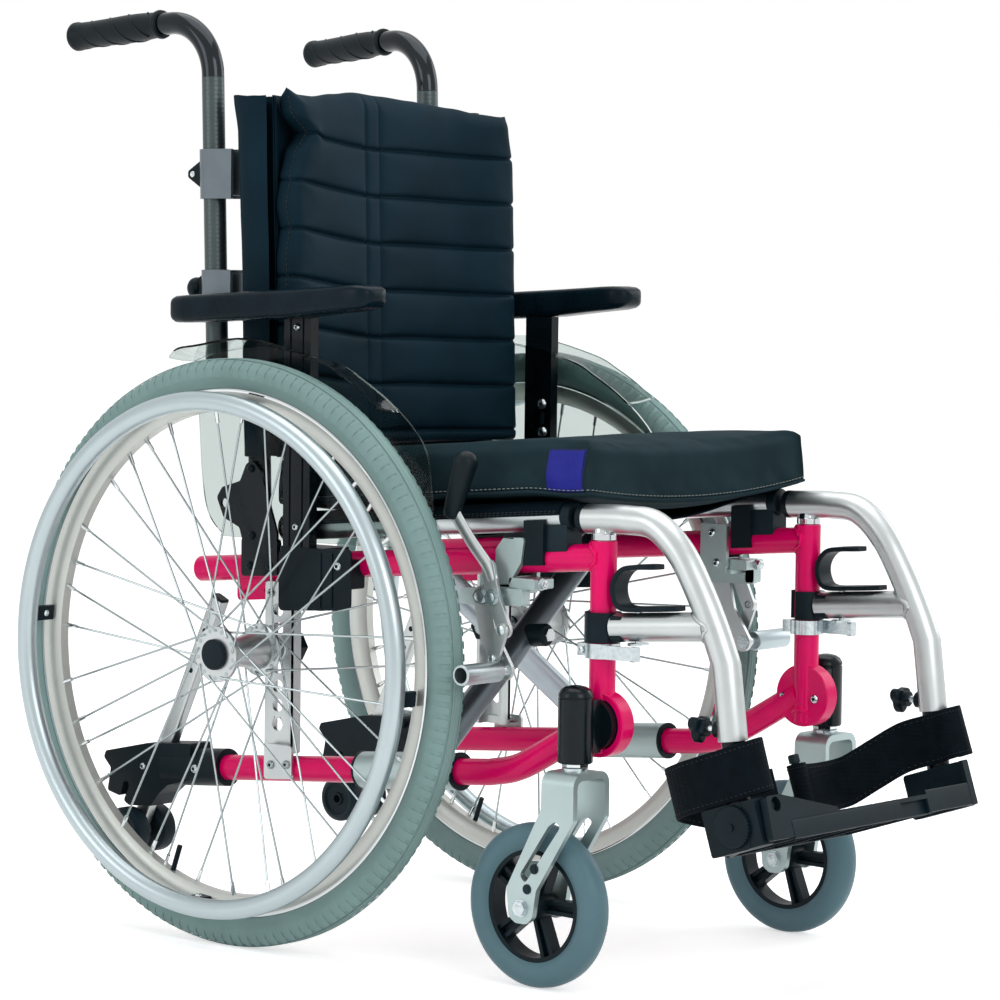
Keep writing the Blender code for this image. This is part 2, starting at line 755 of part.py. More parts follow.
def extension_knob():
    base = Vector(HANGER_PATH[-1]) - SHIN * 9
    shaft = cylinder(base + Vector((0, 11.4, 0)), base + Vector((0, 36, 0)), 3.4, 6)
    solids = [shaft]
    centre = base + Vector((0, 31, 0))
    for k in range(3):
        a = 2 * math.pi * k / 3 + 0.5
        at = centre + Vector((8 * math.cos(a), 0, 8 * math.sin(a)))
        solids.append(cylinder(at, at + Vector((0, 10, 0)), 5.6, 7))
    solids.append(cylinder(centre + Vector((0, 0.5, 0)), centre + Vector((0, 9.2, 0)), 8, 9))
    return fused(*solids)


piece("hanger_right", hanger(), "silver", (-FRAME_X, FRONT_Y, 330))
piece("release_lever_right", release_lever(), "black", (-FRAME_X, RELEASE_Y, 330))
KNOB = Vector(HANGER_PATH[-1]) - SHIN * 9
piece("extension_knob_right", extension_knob(), "black", tuple(KNOB))


# Armrest: pad, post in the frame's socket, and a clear guard that shields the user
# from the wheel and curls over the tyre
PAD_X = -195.4


def armrest_pad():
    """Moulded pad: rounded ends, and an underside that rises towards the front."""
    rings = []
    for y, half, low, high in (
        (12, 13, 611, 619),
        (14.5, 18, 608.5, 623),
        (22, 20.5, 606, 625.5),
        (60, 20.6, 600.5, 624.5),
        (104, 20.6, 596.2, 624),
        (240, 20.6, 596.2, 623),
        (256, 19.5, 597, 622.5),
        (261, 15.5, 600, 620),
    ):
        soft = min(half, high - low) * 0.28
        corners = ((-1, -1), (-1, 1), (1, 1), (1, -1))
        middle, tall = (low + high) / 2, (high - low) / 2
        ring = []
        for sx, sz in corners:
            first = (sx * (half - soft), sz * tall)
            second = (sx * half, sz * (tall - soft))
            pair = (first, second) if sx == sz else (second, first)
            ring += [(PAD_X + a, y, middle + b) for a, b in pair]
        rings.append(ring)
    return skin(rings)


def armrest_post():
    post = box((-187.5, -176.5), (99, 133), (325.4, 595.7))
    groove = [box((-190, -186.3), (y, y + 2), (300, 620)) for y in (106, 122)]
    return cut(post, *groove)


def side_guard():
    y, z = AXLE
    arc = []
    for k in range(13):
        a = math.radians(69 + (138 - 69) * k / 12)
        arc.append((y + 296 * math.cos(a), z + 296 * math.sin(a)))
    front = [(-63.5, 458), (-62, 430)]
    outline = arc + front + [(-58, 400), (-48, 386.5), (205, 385)]
    outline += [(225, 389), (243, 408), (251, 443), (256, 503), (257, 545)]
    panel = prism(outline, -176.2, -173.8)
    edge = arc + front
    inner = []
    for i, p in enumerate(edge):
        a, b = edge[max(i - 1, 0)], edge[min(i + 1, len(edge) - 1)]
        way = Vector((b[0] - a[0], b[1] - a[1])).normalized()
        inner.append((p[0] - way.y * 2.4, p[1] + way.x * 2.4))
    fender = prism(edge + inner[::-1], -210, -174)
    guard = fused(panel, fender)
    return cut(guard, box((-188, -175.6), (98.6, 133.4), (560, 590)))


piece("armrest_post_right", armrest_post(), "black", (-182, 116, 322))
piece("armrest_pad_right", armrest_pad(), "black", (-182, 116, 322))
piece("side_guard_right", side_guard(), "clear", (-182, 116, 322))


# Back cane with its bracket and the two clamps that hold the push handle's tube
CLAMPS = ((712, 760), (607, 643))
KNOB_Z = 625


def back_cane():
    x = -FRAME_X
    cane = cylinder((x, cane_y(371), 371.5), (x, cane_y(815), 815), 11, 10)
    foot = box((-179, -150), (172, 201), (372, 383.2))
    low = prism([(148, 351), (195, 348), (195, 383.2), (148, 383.2)], -179, -172.8)
    wing = [
        (164, 383),
        (164, 440),
        (170, 462),
        (192, 462),
        (198, 440),
        (212, 428),
        (224, 426),
        (227, 417),
        (224, 406),
        (212, 404),
        (200, 392),
        (206, 383),
    ]
    wing = prism(wing, -179, -176.6)
    body = fused(cane, foot, low, wing)

    for low_z, high_z in CLAMPS:
        mid = (low_z + high_z) / 2
        way = Vector((0, CANE_LEAN, 1))
        here = Vector((x, push_y(low_z), low_z))
        there = Vector((x, push_y(high_z), high_z))
        band = cylinder(here, there, 14.2, 10)
        bridge = box(
            (x - 5, x + 5),
            (cane_y(mid), push_y(mid)),
            (low_z + 3, high_z - 3),
        )
        tail = box((x - 4, x + 4), (push_y(mid), push_y(mid) + 18), (mid - 8, mid + 8))
        hole = cylinder(here - way * 20, there + way * 20, 11.6, 10)
        thread = cylinder((x, push_y(mid), mid), (x, push_y(mid) + 40, mid), 3.4, 8)
        clamp = cut(fused(band, bridge, tail), hole, thread)
        body = fused(body, clamp)
    return body


def push_handle(side, yaw=0.0):
    """Bent tube and its grip. The grip points back, or outwards by the yaw in degrees."""
    top = Vector((side * FRAME_X, push_y(830), 830))
    back = Vector((side * math.sin(math.radians(yaw)), math.cos(math.radians(yaw)), 0))
    line = [(side * FRAME_X, push_y(521), 521), top]
    for k in range(1, 6):
        a = math.radians(18 * k)
        line.append(top + back * 54 * (1 - math.cos(a)) + Vector((0, 0, 54 * math.sin(a))))
    line.append(top + back * 76 + Vector((0, 0, 53)))
    tube = sweep(line, 11, 10)
    ends = ((68, 53.4), (71, 53.2), (145, 49), (187, 44.8), (191, 44.4))
    grip = sweep([top + back * d + Vector((0, 0, h)) for d, h in ends], 14.5, 10)
    return fused(tube, grip)


def handle_knob():
    x, z = -FRAME_X, KNOB_Z
    y = push_y(z)
    stem = cylinder((x, y + 11.6, z), (x, y + 24, z), 3, 8)
    head = turned(
        [(y + 19, 0), (y + 19, 8), (y + 22, 10.5), (y + 29, 10.5), (y + 33, 7), (y + 34, 0)],
        (x, 0, z),
        14,
        "y",
    )
    return fused(stem, head)


piece("back_cane_right", back_cane(), "black")
piece("handle_knob_right", handle_knob(), "black", (-FRAME_X, push_y(KNOB_Z), KNOB_Z))

for right in list(PIECES):
    mirrored(right, right.replace("_right", "_left"))

# In the photo the left grip is turned a little outwards
HANDLE_YAW = 9.0
piece("push_handle_right", push_handle(-1), "silver", (-FRAME_X, push_y(521), 521))
piece("push_handle_left", push_handle(1, HANDLE_YAW), "silver", (FRAME_X, push_y(521), 521))


# Leg extensions: the right one ends in the footplate's hinge block, the left one in the
# block that the plate's free end rests against
FORE = Vector((0, -math.cos(TOE_UP), math.sin(TOE_UP)))
NORMAL = Vector((0, math.sin(TOE_UP), math.cos(TOE_UP)))
PLATE = Vector((0, -376, 135))


def on_plate(x, f, n):
    """A point from x, the distance forward along the plate and the height above its base."""
    return Vector((x, 0, 0)) + PLATE + FORE * f + NORMAL * n


def plate_box(x, f, n):
    """A box in the footplate's own frame, before on_foot places it."""
    return box(x, (-f[1], -f[0]), n)


def plate_bar(x, f, n, radius, count=12):
    """A round bar in the footplate's own frame, along the one pair that has a length."""
    start, end = (x[0], -f[0], n[0]), (x[-1], -f[-1], n[-1])
    return cylinder(start, end, radius, count)


def on_foot(solid):
    """Tilts a solid from the footplate's own frame to its place."""
    solid.data.transform(
        Matrix.Translation(PLATE * MM) @ Matrix.Rotation(-TOE_UP, 4, "X")
    )
    return solid


def plate_prism(points, n):
    """A flat outline of (x, f) points in the footplate's own frame, with its two heights."""
    return prism([(x, -f) for x, f in points], n[0], n[1], "z")


def extension_right():
    block = plate_box((-183, -149), (0, 44), (0, 42))
    front = plate_prism(
        [(-182.6, 40), (-162, 40), (-162, 50), (-166, 57), (-182.6, 57)], (0.5, 41.5)
    )
    disc = plate_bar((-187, -180), (30,), (22,), 19, 16)
    hexagon = plate_bar((-188.5, -184), (30,), (22,), 4, 6)
    boss = plate_bar((-FLIP_X,), (46, 57.4), (FLIP_N,), 8, 12)
    pin = plate_bar((-FLIP_X,), (50, 64), (FLIP_N,), 3, 12)
    block = on_foot(fused(block, front, disc, hexagon, boss, pin))
    return fused(extension_tube(), block)


def extension_left():
    tube = extension_tube()
    tube.data.transform(Matrix.Translation((2 * FRAME_X * MM, 0, 0)))
    inner = plate_box((143, 156), (-5, 60), (0, 43))
    outer = plate_box((150, 170), (14, 47), (0.4, 42))
    return fused(tube, on_foot(fused(inner, outer)))


def footplate():
    sheet = plate_prism(
        [(-146, 66), (-146, 0), (-102, -43), (85, -43), (85, 61.5), (142, 61.5), (142, 66)],
        (14, 18),
    )
    diagonal = plate_prism(
        [(-146.1, 0.3), (-101.9, -43.1), (-99, -40.2), (-143.2, 3.2)], (0.6, 17.8)
    )
    walls = [
        plate_box((-145.8, 23.5), (62.2, 66.2), (0, 17)),
        plate_box((21, 70.5), (57.4, 61.2), (0.2, 16.8)),
        plate_box((20.4, 24.2), (57.2, 66), (0.4, 16.6)),
        plate_box((67.4, 71.2), (57, 65.8), (0.6, 16.4)),
        plate_box((68.2, 141.8), (61.7, 66.1), (0.8, 22)),
        plate_box((-103.6, 84.6), (-43.2, -39.2), (0.4, 17.6)),
        plate_box((-146.2, -142.2), (1.2, 65.6), (0.2, 17.4)),
        plate_box((81.2, 85.2), (-42.6, 61.3), (0.3, 17.2)),
        plate_box((139.5, 148.5), (61.6, 66.3), (0.5, 43)),
    ]
    ribs = [plate_box((x, x + 3), (-41, 61.5), (0.7, 16)) for x in (-90, -33, 24.6)]
    profile = [(-178, 2), (-72, 2), (-72, 21), (-154, 41), (-174, 41)]
    ear = prism(profile, -65.9, -58.5, "y")
    peg = plate_bar((0,), (-20,), (12, 78), 3.6, 8)
    knob = plate_bar((0,), (-20,), (73, 81), 5.2, 10)
    body = fused(sheet, diagonal, *walls, *ribs, ear, peg, knob)
    hole = plate_bar((-FLIP_X,), (50, 70), (FLIP_N,), 3.4, 12)
    sink = plate_bar((-FLIP_X,), (64.4, 70), (FLIP_N,), 6.6)
    return on_foot(cut(body, hole, sink))


FLIP = tuple(on_plate(-FLIP_X, 50, FLIP_N))
piece("leg_extension_right", extension_right(), "black", HANGER_PATH[-1])
LEFT_FOOT = (FRAME_X, HANGER_PATH[-1][1], HANGER_PATH[-1][2])
piece("leg_extension_left", extension_left(), "black", LEFT_FOOT)
piece("footplate", footplate(), "black", FLIP)


# Heel straps: wide webbing on edge. Each is wrapped round its own leg rest's tube and
# bows back behind the heel. The left one is hooked on the plate's peg.
def strap(line, height=47.0, thickness=2.4):
    """A strap on edge, along (x, forward, low edge) points in the plate's frame."""
    points = [Vector((x, -f, n)) for x, f, n in line]
    points = smooth_path(points, 2)
    rings = []
    for i, p in enumerate(points):
        way = points[min(i + 1, len(points) - 1)] - points[max(i - 1, 0)]
        side = Vector((-way.y, way.x, 0)).normalized() * thickness / 2
        high = Vector((0, 0, height))
        rings.append([p - side, p + side, p + side + high, p - side + high])
    return on_foot(skin(rings))


RIGHT_STRAP = [
    (-32, -24, 25),
    (-64, -33, 25),
    (-98, -46, 27),
    (-126, -58, 37),
    (-150, -52, 42),
    (-168, -26, 43),
    (-179, 6, 43),
    (-180, 34, 43.5),
    (-176, 56, 44.5),
    (-160, 63, 46),
    (-147, 52, 46),
    (-145.5, 20, 46),
]
LEFT_STRAP = [
    (8, -15, 25),
    (-3, -13, 25),
    (-7, -21, 25),
    (1, -28, 25),
    (32, -33, 25),
    (66, -41, 25),
    (97, -45, 26),
    (108, -38, 28),
    (124, -20, 36),
    (140, 6, 45),
    (146.5, 36, 46),
    (149, 52, 47),
    (160, 61, 47.5),
    (173, 56, 48),
    (178, 40, 48),
]
piece("heel_strap_right", strap(RIGHT_STRAP), "fabric")
piece("heel_strap_left", strap(LEFT_STRAP), "fabric")


# Scissor brace. Both members are in planes square to the rails: A runs from the right
# rail up to the left seat tube, B from the left rail up to the right one.
PIVOT = Vector((-FRAME_X, -9, lower_z(-9)))
ALONG = Vector((0, math.cos(TILT), -math.sin(TILT)))
SPAN = 2 * FRAME_X
RISE = (seat_z(-9) - lower_z(-9)) * math.cos(TILT)


def in_brace(x, along, height):
    """A point from x across the chair, along the rails and square to them."""
    up = Vector((0, math.sin(TILT), math.cos(TILT)))
    return PIVOT + Vector((x + FRAME_X, 0, 0)) + ALONG * along + up * height


def brace(side):
    """One member with its rail sleeve (side -1: the right rail) and its seat tube."""
    foot_x, head_x = side * FRAME_X, -side * FRAME_X
    near, far = (-26.5, -0.3) if side < 0 else (0.3, 26.5)
    way = Vector((head_x - foot_x, RISE)).normalized()
    across = Vector((-way.y, way.x)) * 13
    long = math.hypot(SPAN, RISE)
    rings = []
    middle = (near + far) / 2
    for t in (8, long - 6):
        cx, cz = foot_x + way.x * t, way.y * t
        ring = []
        for k in range(10):
            a = 2 * math.pi * k / 10
            ring.append(
                in_brace(
                    cx + across.x * math.cos(a),
                    middle + (far - near) / 2 * math.sin(a),
                    cz + across.y * math.cos(a),
                )
            )
        rings.append(ring)
    member = skin(rings)
    ends = [in_brace(foot_x, t, 0) for t in (-60, 60)]
    sleeve = cylinder(ends[0], ends[1], 17.5, 14)
    hole = cylinder(ends[0] - ALONG * 20, ends[1] + ALONG * 20, TUBE_R + 0.6, 14)
    front = Vector((head_x, -196, seat_z(-196)))
    back = Vector((head_x, 150, seat_z(150)))
    seat_tube = cylinder(front, back, TUBE_R, 14)
    cap = cylinder(front - ALONG * 7, front + ALONG * 4, 13.2, 14)
    body = fused(cut(fused(member, sleeve), hole), seat_tube, cap)
    centre = in_brace(0, 0, RISE / 2)
    if side < 0:
        bush = cylinder(centre - ALONG * 43, centre - ALONG * 20, 11, 12)
        head = cylinder(centre - ALONG * 47, centre - ALONG * 40, 7, 6)
        bolt = cylinder(centre - ALONG * 30, centre + ALONG * 30, 4, 8)
        return fused(body, bush, head, bolt)
    return cut(body, cylinder(centre - ALONG * 60, centre + ALONG * 60, 4.6, 8))


piece("brace_a", brace(-1), "silver", tuple(PIVOT))
piece("brace_b", brace(1), "silver", tuple(in_brace(0, 0, RISE / 2)))


# Soft parts
def seat_sling():
    """Sheet that hangs between the seat tubes and wraps over them."""
    outer, inner = 14.6, 12.9
    top, under = [], []
    for k in range(6):
        a = math.radians(150 - 60 * k / 5)
        top.append((-FRAME_X + outer * math.cos(a), outer * math.sin(a)))
        under.append((-FRAME_X + inner * math.cos(a), inner * math.sin(a)))
    middle = [(-80, 8.6, 6.8), (0, 5.6, 3.8)]
    upper = top + [(x, a) for x, a, _ in middle]
    lower = under + [(x, b) for x, _, b in middle]
    upper += [(-x, z) for x, z in reversed(upper) if x < 0]
    lower += [(-x, z) for x, z in reversed(lower) if x < 0]
    outline = upper + lower[::-1]
    return skin(
        [[(x, y, seat_z(y) + z) for x, z in outline] for y in (-190, 148)]
    )


def seat_cushion():
    """Boxed foam cushion with a crown, drawn in a little at the sides."""
    rings = []
    rows = [-226, -222, -203, -120, -20, 70, 140, 156, 160]
    for y in rows:
        end = min(1.0, (min(y - rows[0], rows[-1] - y) / 22) ** 0.5 + 0.0)
        half = 166 + 6 * end
        base = seat_z(y) + 15.2
        high = base + 50 + 5 * end
        low = base + 0.2 + 3.5 * (1 - end)
        ring = []
        for x in (-1, -0.97, -0.8, -0.4, 0, 0.4, 0.8, 0.97, 1):
            ring.append((x * half, y, high - (6 if abs(x) == 1 else 0) - 1.5 * x * x))
        for x in (1, 0.6, 0, -0.6, -1):
            sag = 5.5 * (1 - x * x) if end > 0.3 else 0
            ring.append((x * (half - 1), y, low - sag + (6 if abs(x) == 1 else 0)))
        rings.append(ring)
    return skin(rings)


def back_sag(x):
    """How far the back's sheet bows backwards between the canes."""
    return 17 * (1 - (x / 148) ** 2)


def back_sling():
    """Vinyl sheet with a sleeve over each cane."""
    z0, z1 = 464.0, 807.0
    sleeves = []
    for side in (-1, 1):
        rings = [
            ring_at((side * FRAME_X, cane_y(z), z), (0, CANE_LEAN, 1), 13.4, 12, 20)
            for z in (z0, z1)
        ]
        sleeves.append(skin(rings))
    xs = [-158, -120, -80, -40, 0, 40, 80, 120, 158]
    outline = []
    for x in xs:
        outline.append((x, -15.5 + back_sag(min(abs(x), 148))))
    for x in reversed(xs):
        outline.append((x, -13 + back_sag(min(abs(x), 148))))
    sheet = skin([[(x, cane_y(z) + d, z) for x, d in outline] for z in (z0, z1)])
    body = fused(sheet, *sleeves)
    tools = []
    for side in (-1, 1):
        x = side * FRAME_X
        tools.append(
            cylinder((x, cane_y(400), 400), (x, cane_y(900), 900), 11.6, 10)
        )
        for low, high in CLAMPS:
            tools.append(
                box((x - 5.4, x + 5.4), (cane_y(low), 240), (low + 2.6, high - 2.6))
            )
    return cut(body, *tools)


CHANNEL = 43.5


def back_cushion():
    """Foam pad with horizontal channels, bowed back between the canes."""
    z0, z1 = 470.0, 822.0
    rings = []
    steps = 24
    for k in range(steps + 1):
        z = z0 + (z1 - z0) * k / steps
        bulge = abs(math.sin(math.pi * (z - z0) / (2 * CHANNEL * 0.5046)))
        half = 149 + 5 * bulge
        ring = []
        for x in (-1, -0.93, -0.5, 0, 0.5, 0.93, 1):
            at = x * half
            front = -15.8 - 36 - 10 * bulge + back_sag(min(abs(at), 148)) * 0.9
            front += 10 if abs(x) == 1 else 0
            ring.append((at, cane_y(z) + front, z))
        for x in (1, 0.5, 0, -0.5, -1):
            at = x * half
            back = -16.2 + back_sag(min(abs(at), 148)) - (4 if abs(x) == 1 else 0)
            ring.append((at, cane_y(z) + back, z))
        rings.append(ring)
    return skin(rings)


piece("seat_sling", seat_sling(), "fabric")
piece("seat_cushion", seat_cushion(), "fabric")
piece("back_sling", back_sling(), "fabric")
piece("back_cushion", back_cushion(), "fabric")

# Y = 0 is the middle of the chair's length
for solid, _ in PIECES.values():
    solid.location.y -= MIDDLE_Y * MM
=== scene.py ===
# %% [markdown]
# # A child's folding wheelchair
# The chair is two side frames of welded tube, joined by a folding cross of two braces.
# Each frame carries a 22 inch spoked wheel, a 6 inch castor in a slotted fork, a brake,
# an armrest with a clear guard, a back cane and a leg rest that swings away.
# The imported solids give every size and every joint. This script dresses them: it keeps
# their places, and makes finer surfaces, fastenings, fabric and finishes.

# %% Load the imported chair
import math

import bmesh
import bpy
import numpy as np
from mathutils import Matrix, Vector, noise
from mathutils.bvhtree import BVHTree
from mathutils.geometry import tessellate_polygon


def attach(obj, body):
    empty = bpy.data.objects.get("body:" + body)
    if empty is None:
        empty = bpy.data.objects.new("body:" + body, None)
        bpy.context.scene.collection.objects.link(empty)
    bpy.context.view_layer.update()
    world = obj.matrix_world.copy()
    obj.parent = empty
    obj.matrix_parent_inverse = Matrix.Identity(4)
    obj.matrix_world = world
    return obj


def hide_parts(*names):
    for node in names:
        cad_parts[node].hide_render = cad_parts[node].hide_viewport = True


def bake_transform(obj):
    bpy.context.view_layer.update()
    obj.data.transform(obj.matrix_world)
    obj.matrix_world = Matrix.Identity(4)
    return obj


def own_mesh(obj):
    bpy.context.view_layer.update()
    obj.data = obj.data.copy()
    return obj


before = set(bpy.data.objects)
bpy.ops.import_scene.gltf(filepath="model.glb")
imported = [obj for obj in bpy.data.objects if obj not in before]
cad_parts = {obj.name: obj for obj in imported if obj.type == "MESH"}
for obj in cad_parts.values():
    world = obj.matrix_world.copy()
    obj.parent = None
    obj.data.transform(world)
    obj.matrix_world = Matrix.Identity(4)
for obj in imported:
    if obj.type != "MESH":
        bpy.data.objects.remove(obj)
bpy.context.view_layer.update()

# %% [markdown]
# ## Measures
# Lengths are millimetres in the chair's own frame, as its maker would write them: the
# chair faces -Y and the user's right is -X. The origin is on the floor, under the middle
# of the chair's length, so every Y below is moved by one offset as a mesh is made.

# %% Measures of the chair
MM = 0.001
MIDDLE_Y = 4.34
FRAME_X = 160.0  # middle of a side frame's tubes
TILT = math.radians(4.6)  # the rails rise towards the front
TUBE_R = 12.5
AXLE = (157.0, 280.0)
WHEEL_X, TYRE_R = 228.0, 280.0
HANDRIM_X, HANDRIM_R, HANDRIM_TUBE = 270.0, 240.0, 9.5
FRONT_Y = -234.0
CASTOR_X, STEM_Y, CASTOR_Y, CASTOR_R = 196.0, -232.5, -193.0, 75.0
CANE_LEAN = 0.03
X = -FRAME_X  # the right side is made first, and mirrored


def upper_z(y):
    return 370.2 - math.tan(TILT) * (y - 15.5)


def lower_z(y):
    return 170.5 - math.tan(TILT) * (y - 59.5)


def seat_z(y):
    return 418.3 - math.tan(TILT) * (y + 118)


def cane_y(z):
    return 188 + CANE_LEAN * (z - 430)


def push_y(z):
    return 246 + CANE_LEAN * (z - 521)


print("seat height at the front edge, mm:", round(seat_z(-226) + 70))

# %% [markdown]
# ## Shells
# A metal part is a few simple shells that overlap: a swept tube, a turned ring, a plate
# with holes. Each maker below returns points and faces, and `join` turns them into one
# mesh with a finish for each shell. Small bevels come from one modifier, because real
# edges are never sharp and a bevel is what catches the light.


# %% Makers of shells
def loft(rings, closed=False, caps=True):
    """Quads between rings of points."""
    count = len(rings[0])
    verts = [tuple(p) for ring in rings for p in ring]
    faces = []
    spans = len(rings) if closed else len(rings) - 1
    for i in range(spans):
        a, b = i * count, ((i + 1) % len(rings)) * count
        for k in range(count):
            n = (k + 1) % count
            faces.append((a + k, a + n, b + n, b + k))
    if caps and not closed:
        faces.append(tuple(range(count))[::-1])
        faces.append(tuple((len(rings) - 1) * count + k for k in range(count)))
    return verts, faces


def ring_at(centre, way, radius, count, second=None, side=None):
    """A circle or ellipse of points, square to a direction."""
    normal = Vector(way).normalized()
    side = Vector(side or ((1, 0, 0) if abs(normal.x) < 0.9 else (0, 1, 0)))
    side = (side - normal * side.dot(normal)).normalized()
    up = normal.cross(side)
    second = second or radius
    out = []
    for k in range(count):
        a = 2 * math.pi * k / count
        out.append(Vector(centre) + side * radius * math.cos(a) + up * second * math.sin(a))
    return out


def rod(start, end, radius, count=28, end_radius=None):
    way = Vector(end) - Vector(start)
    tip = end_radius or radius
    return loft([ring_at(start, way, radius, count), ring_at(end, way, tip, count)])


def smooth_path(points, steps):
    """A Catmull-Rom curve through the points."""
    points = [Vector(p) for p in points]
    ends = [2 * points[0] - points[1]] + points + [2 * points[-1] - points[-2]]
    out = []
    for i in range(1, len(ends) - 2):
        a, b, c, d = ends[i - 1 : i + 3]
        for s in range(steps):
            t = s / steps
            bend = 2 * a - 5 * b + 4 * c - d
            out.append(
                0.5 * (2 * b + (c - a) * t + bend * t * t + (3 * b - a - 3 * c + d) * t**3)
            )
    return out + [points[-1]]


def ways(points):
    """The direction of a line at each of its points, from the point before to the one after."""
    last = len(points) - 1
    return [points[min(i + 1, last)] - points[max(i - 1, 0)] for i in range(last + 1)]


def bar(points, radius, count=28, second=None, side=None):
    """A round or oval bar along a path. The radius can be one number or one for each point."""
    points = [Vector(p) for p in points]
    radii = radius if isinstance(radius, (list, tuple)) else [radius] * len(points)
    return loft([ring_at(p, way, r, count, second, side)
                 for p, way, r in zip(points, ways(points), radii)])


def lathe(profile, centre, axis="x", steps=96):
    """A profile of (along, radius) points turned round an axis. A ring when it never
    touches the axis."""
    ring = min(r for _, r in profile) > 0.01
    verts, faces, count = [], [], len(profile)
    for k in range(steps):
        t = 2 * math.pi * k / steps
        for a, r in profile:
            c, s = r * math.cos(t), r * math.sin(t)
            turned = {"x": (a, c, s), "y": (c, a, s), "z": (c, s, a)}[axis]
            verts.append(tuple(Vector(centre) + Vector(turned)))
        a, b = k * count, ((k + 1) % steps) * count
        for i in range(count if ring else count - 1):
            n = (i + 1) % count
            faces.append((a + i, a + n, b + n, b + i))
    return verts, faces


def barrel(low, high, radius, centre, axis="x", steps=96, bore=0):
    """A plain cylinder, or a plain ring round a bore."""
    return lathe([(low, bore), (low, radius), (high, radius), (high, bore)], centre, axis, steps)


def tangent_corner(before, corner, after, radius, steps=4):
    """Points of a fillet that rounds one corner of an outline."""
    b, c, a = Vector(before), Vector(corner), Vector(after)
    one, two = (b - c), (a - c)
    room = min(one.length, two.length) * 0.49
    one.normalize()
    two.normalize()
    half = one.angle(two, 3.1) / 2
    reach = min(radius / max(math.tan(half), 0.05), room)
    start, end = c + one * reach, c + two * reach
    out = []
    for k in range(steps + 1):
        t = k / steps
        out.append(tuple(start * (1 - t) ** 2 + c * 2 * t * (1 - t) + end * t * t))
    return out


def rounded(points, radius, steps=4):
    """An outline with all its corners rounded."""
    out = []
    for i, p in enumerate(points):
        out += tangent_corner(points[i - 1], p, points[(i + 1) % len(points)], radius, steps)
    return out


def rectangle(a, b, radius=0.0, steps=4):
    """An outline from two (low, high) pairs, with rounded corners if a radius is given."""
    corners = [(a[0], b[0]), (a[1], b[0]), (a[1], b[1]), (a[0], b[1])]
    return rounded(corners, radius, steps) if radius else corners


def mirrored(half, about=0.0, middle=()):
    """A line of points, then its middle, then the line's mirror image."""
    return half + list(middle) + [(2 * about - a, b) for a, b in reversed(half)]


def arc(cx, cy, radius, start, end, steps, tall=None):
    """Points on a part of a circle, or of an oval, between two angles in degrees."""
    turns = [math.radians(start + (end - start) * k / steps) for k in range(steps + 1)]
    return [(cx + radius * math.cos(t), cy + (tall or radius) * math.sin(t)) for t in turns]


def circle(cx, cy, radius, count=24):
    return arc(cx, cy, radius, 0, 360, count)[:-1]


def plate(outline, lo, hi, axis="x", holes=()):
    """A flat outline with holes, pushed out along one axis."""

    def place(p, t):
        return {"x": (t, p[0], p[1]), "y": (p[0], t, p[1]), "z": (p[0], p[1], t)}[axis]

    loops = [list(outline)] + [list(h) for h in holes]
    flat = [p for loop in loops for p in loop]
    tris = tessellate_polygon([[Vector((*p, 0)) for p in loop] for loop in loops])
    count = len(flat)
    verts = [place(p, lo) for p in flat] + [place(p, hi) for p in flat]
    faces = [tuple(t) for t in tris] + [tuple(i + count for i in t)[::-1] for t in tris]
    base = 0
    for loop in loops:
        for k in range(len(loop)):
            a, b = base + k, base + (k + 1) % len(loop)
            faces.append((a, b, b + count, a + count))
        base += len(loop)
    return verts, faces


def block(x, y, z, radius=0.0, axis="x"):
    """A box from three (low, high) pairs, with the corners round one axis rounded."""
    a, b, (low, high) = {"x": (y, z, x), "y": (x, z, y), "z": (x, y, z)}[axis]
    return plate(rectangle(a, b, radius), low, high, axis)


def moved(shell, matrix):
    """A shell after a matrix, in the chair's millimetres."""
    verts, faces = shell
    return [tuple(matrix @ Vector(p)) for p in verts], faces


def turn_about(point, angle, axis="X"):
    at = Vector(point)
    return Matrix.Translation(at) @ Matrix.Rotation(angle, 4, axis) @ Matrix.Translation(-at)


print("shell makers ready")


# %% [markdown]
# ## Joining shells into pieces
# `join` makes one object out of shells and their finishes. `pair` makes the right piece and
# its mirror image on the left, lets each ride on its own body, and says which solid it
# stands for.


# %% Join, mirror and place
def join(name, body, parts, stands_for=(), bevel=0.5, sharp=35, mirror=False):
    bm = bmesh.new()
    for index, shells in enumerate(parts.values()):
        for verts, faces in shells:
            made = [bm.verts.new(((-x if mirror else x) * MM, (y - MIDDLE_Y) * MM, z * MM))
                    for x, y, z in verts]
            for face in faces:
                try:
                    bm.faces.new([made[i] for i in face]).material_index = index
                except ValueError:  # the same face twice
                    continue
    bmesh.ops.remove_doubles(bm, verts=bm.verts, dist=1e-7)
    bmesh.ops.dissolve_degenerate(bm, edges=bm.edges, dist=1e-7)
    bmesh.ops.recalc_face_normals(bm, faces=bm.faces)
    mesh = bpy.data.meshes.new(name)
    bm.to_mesh(mesh)
    bm.free()
    for finish_of in parts:
        mesh.materials.append(finish_of)
    mesh.shade_smooth()
    mesh.set_sharp_from_angle(angle=math.radians(sharp))
    obj = bpy.data.objects.new(f"{name}_finished", mesh)
    bpy.context.scene.collection.objects.link(obj)
    if bevel:
        edge = obj.modifiers.new("edge", "BEVEL")
        edge.width, edge.segments = bevel * MM, 2
        edge.limit_method, edge.angle_limit = "ANGLE", math.radians(38)
        edge.harden_normals = True
    if body:
        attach(obj, body)
    if stands_for:
        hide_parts(*stands_for)
    return obj


def pair(name, body, parts, bevel=0.5):
    """The right piece as made, and the left one as its mirror image. Each stands for the
    solid of its own name."""
    out = []
    for side in ("right", "left"):
        own = f"{name}_{side}"
        out.append(join(own, f"{body}_{side}", parts, (own,), bevel, mirror=side == "left"))
    print(name, "faces each:", len(out[0].data.polygons))
    return out


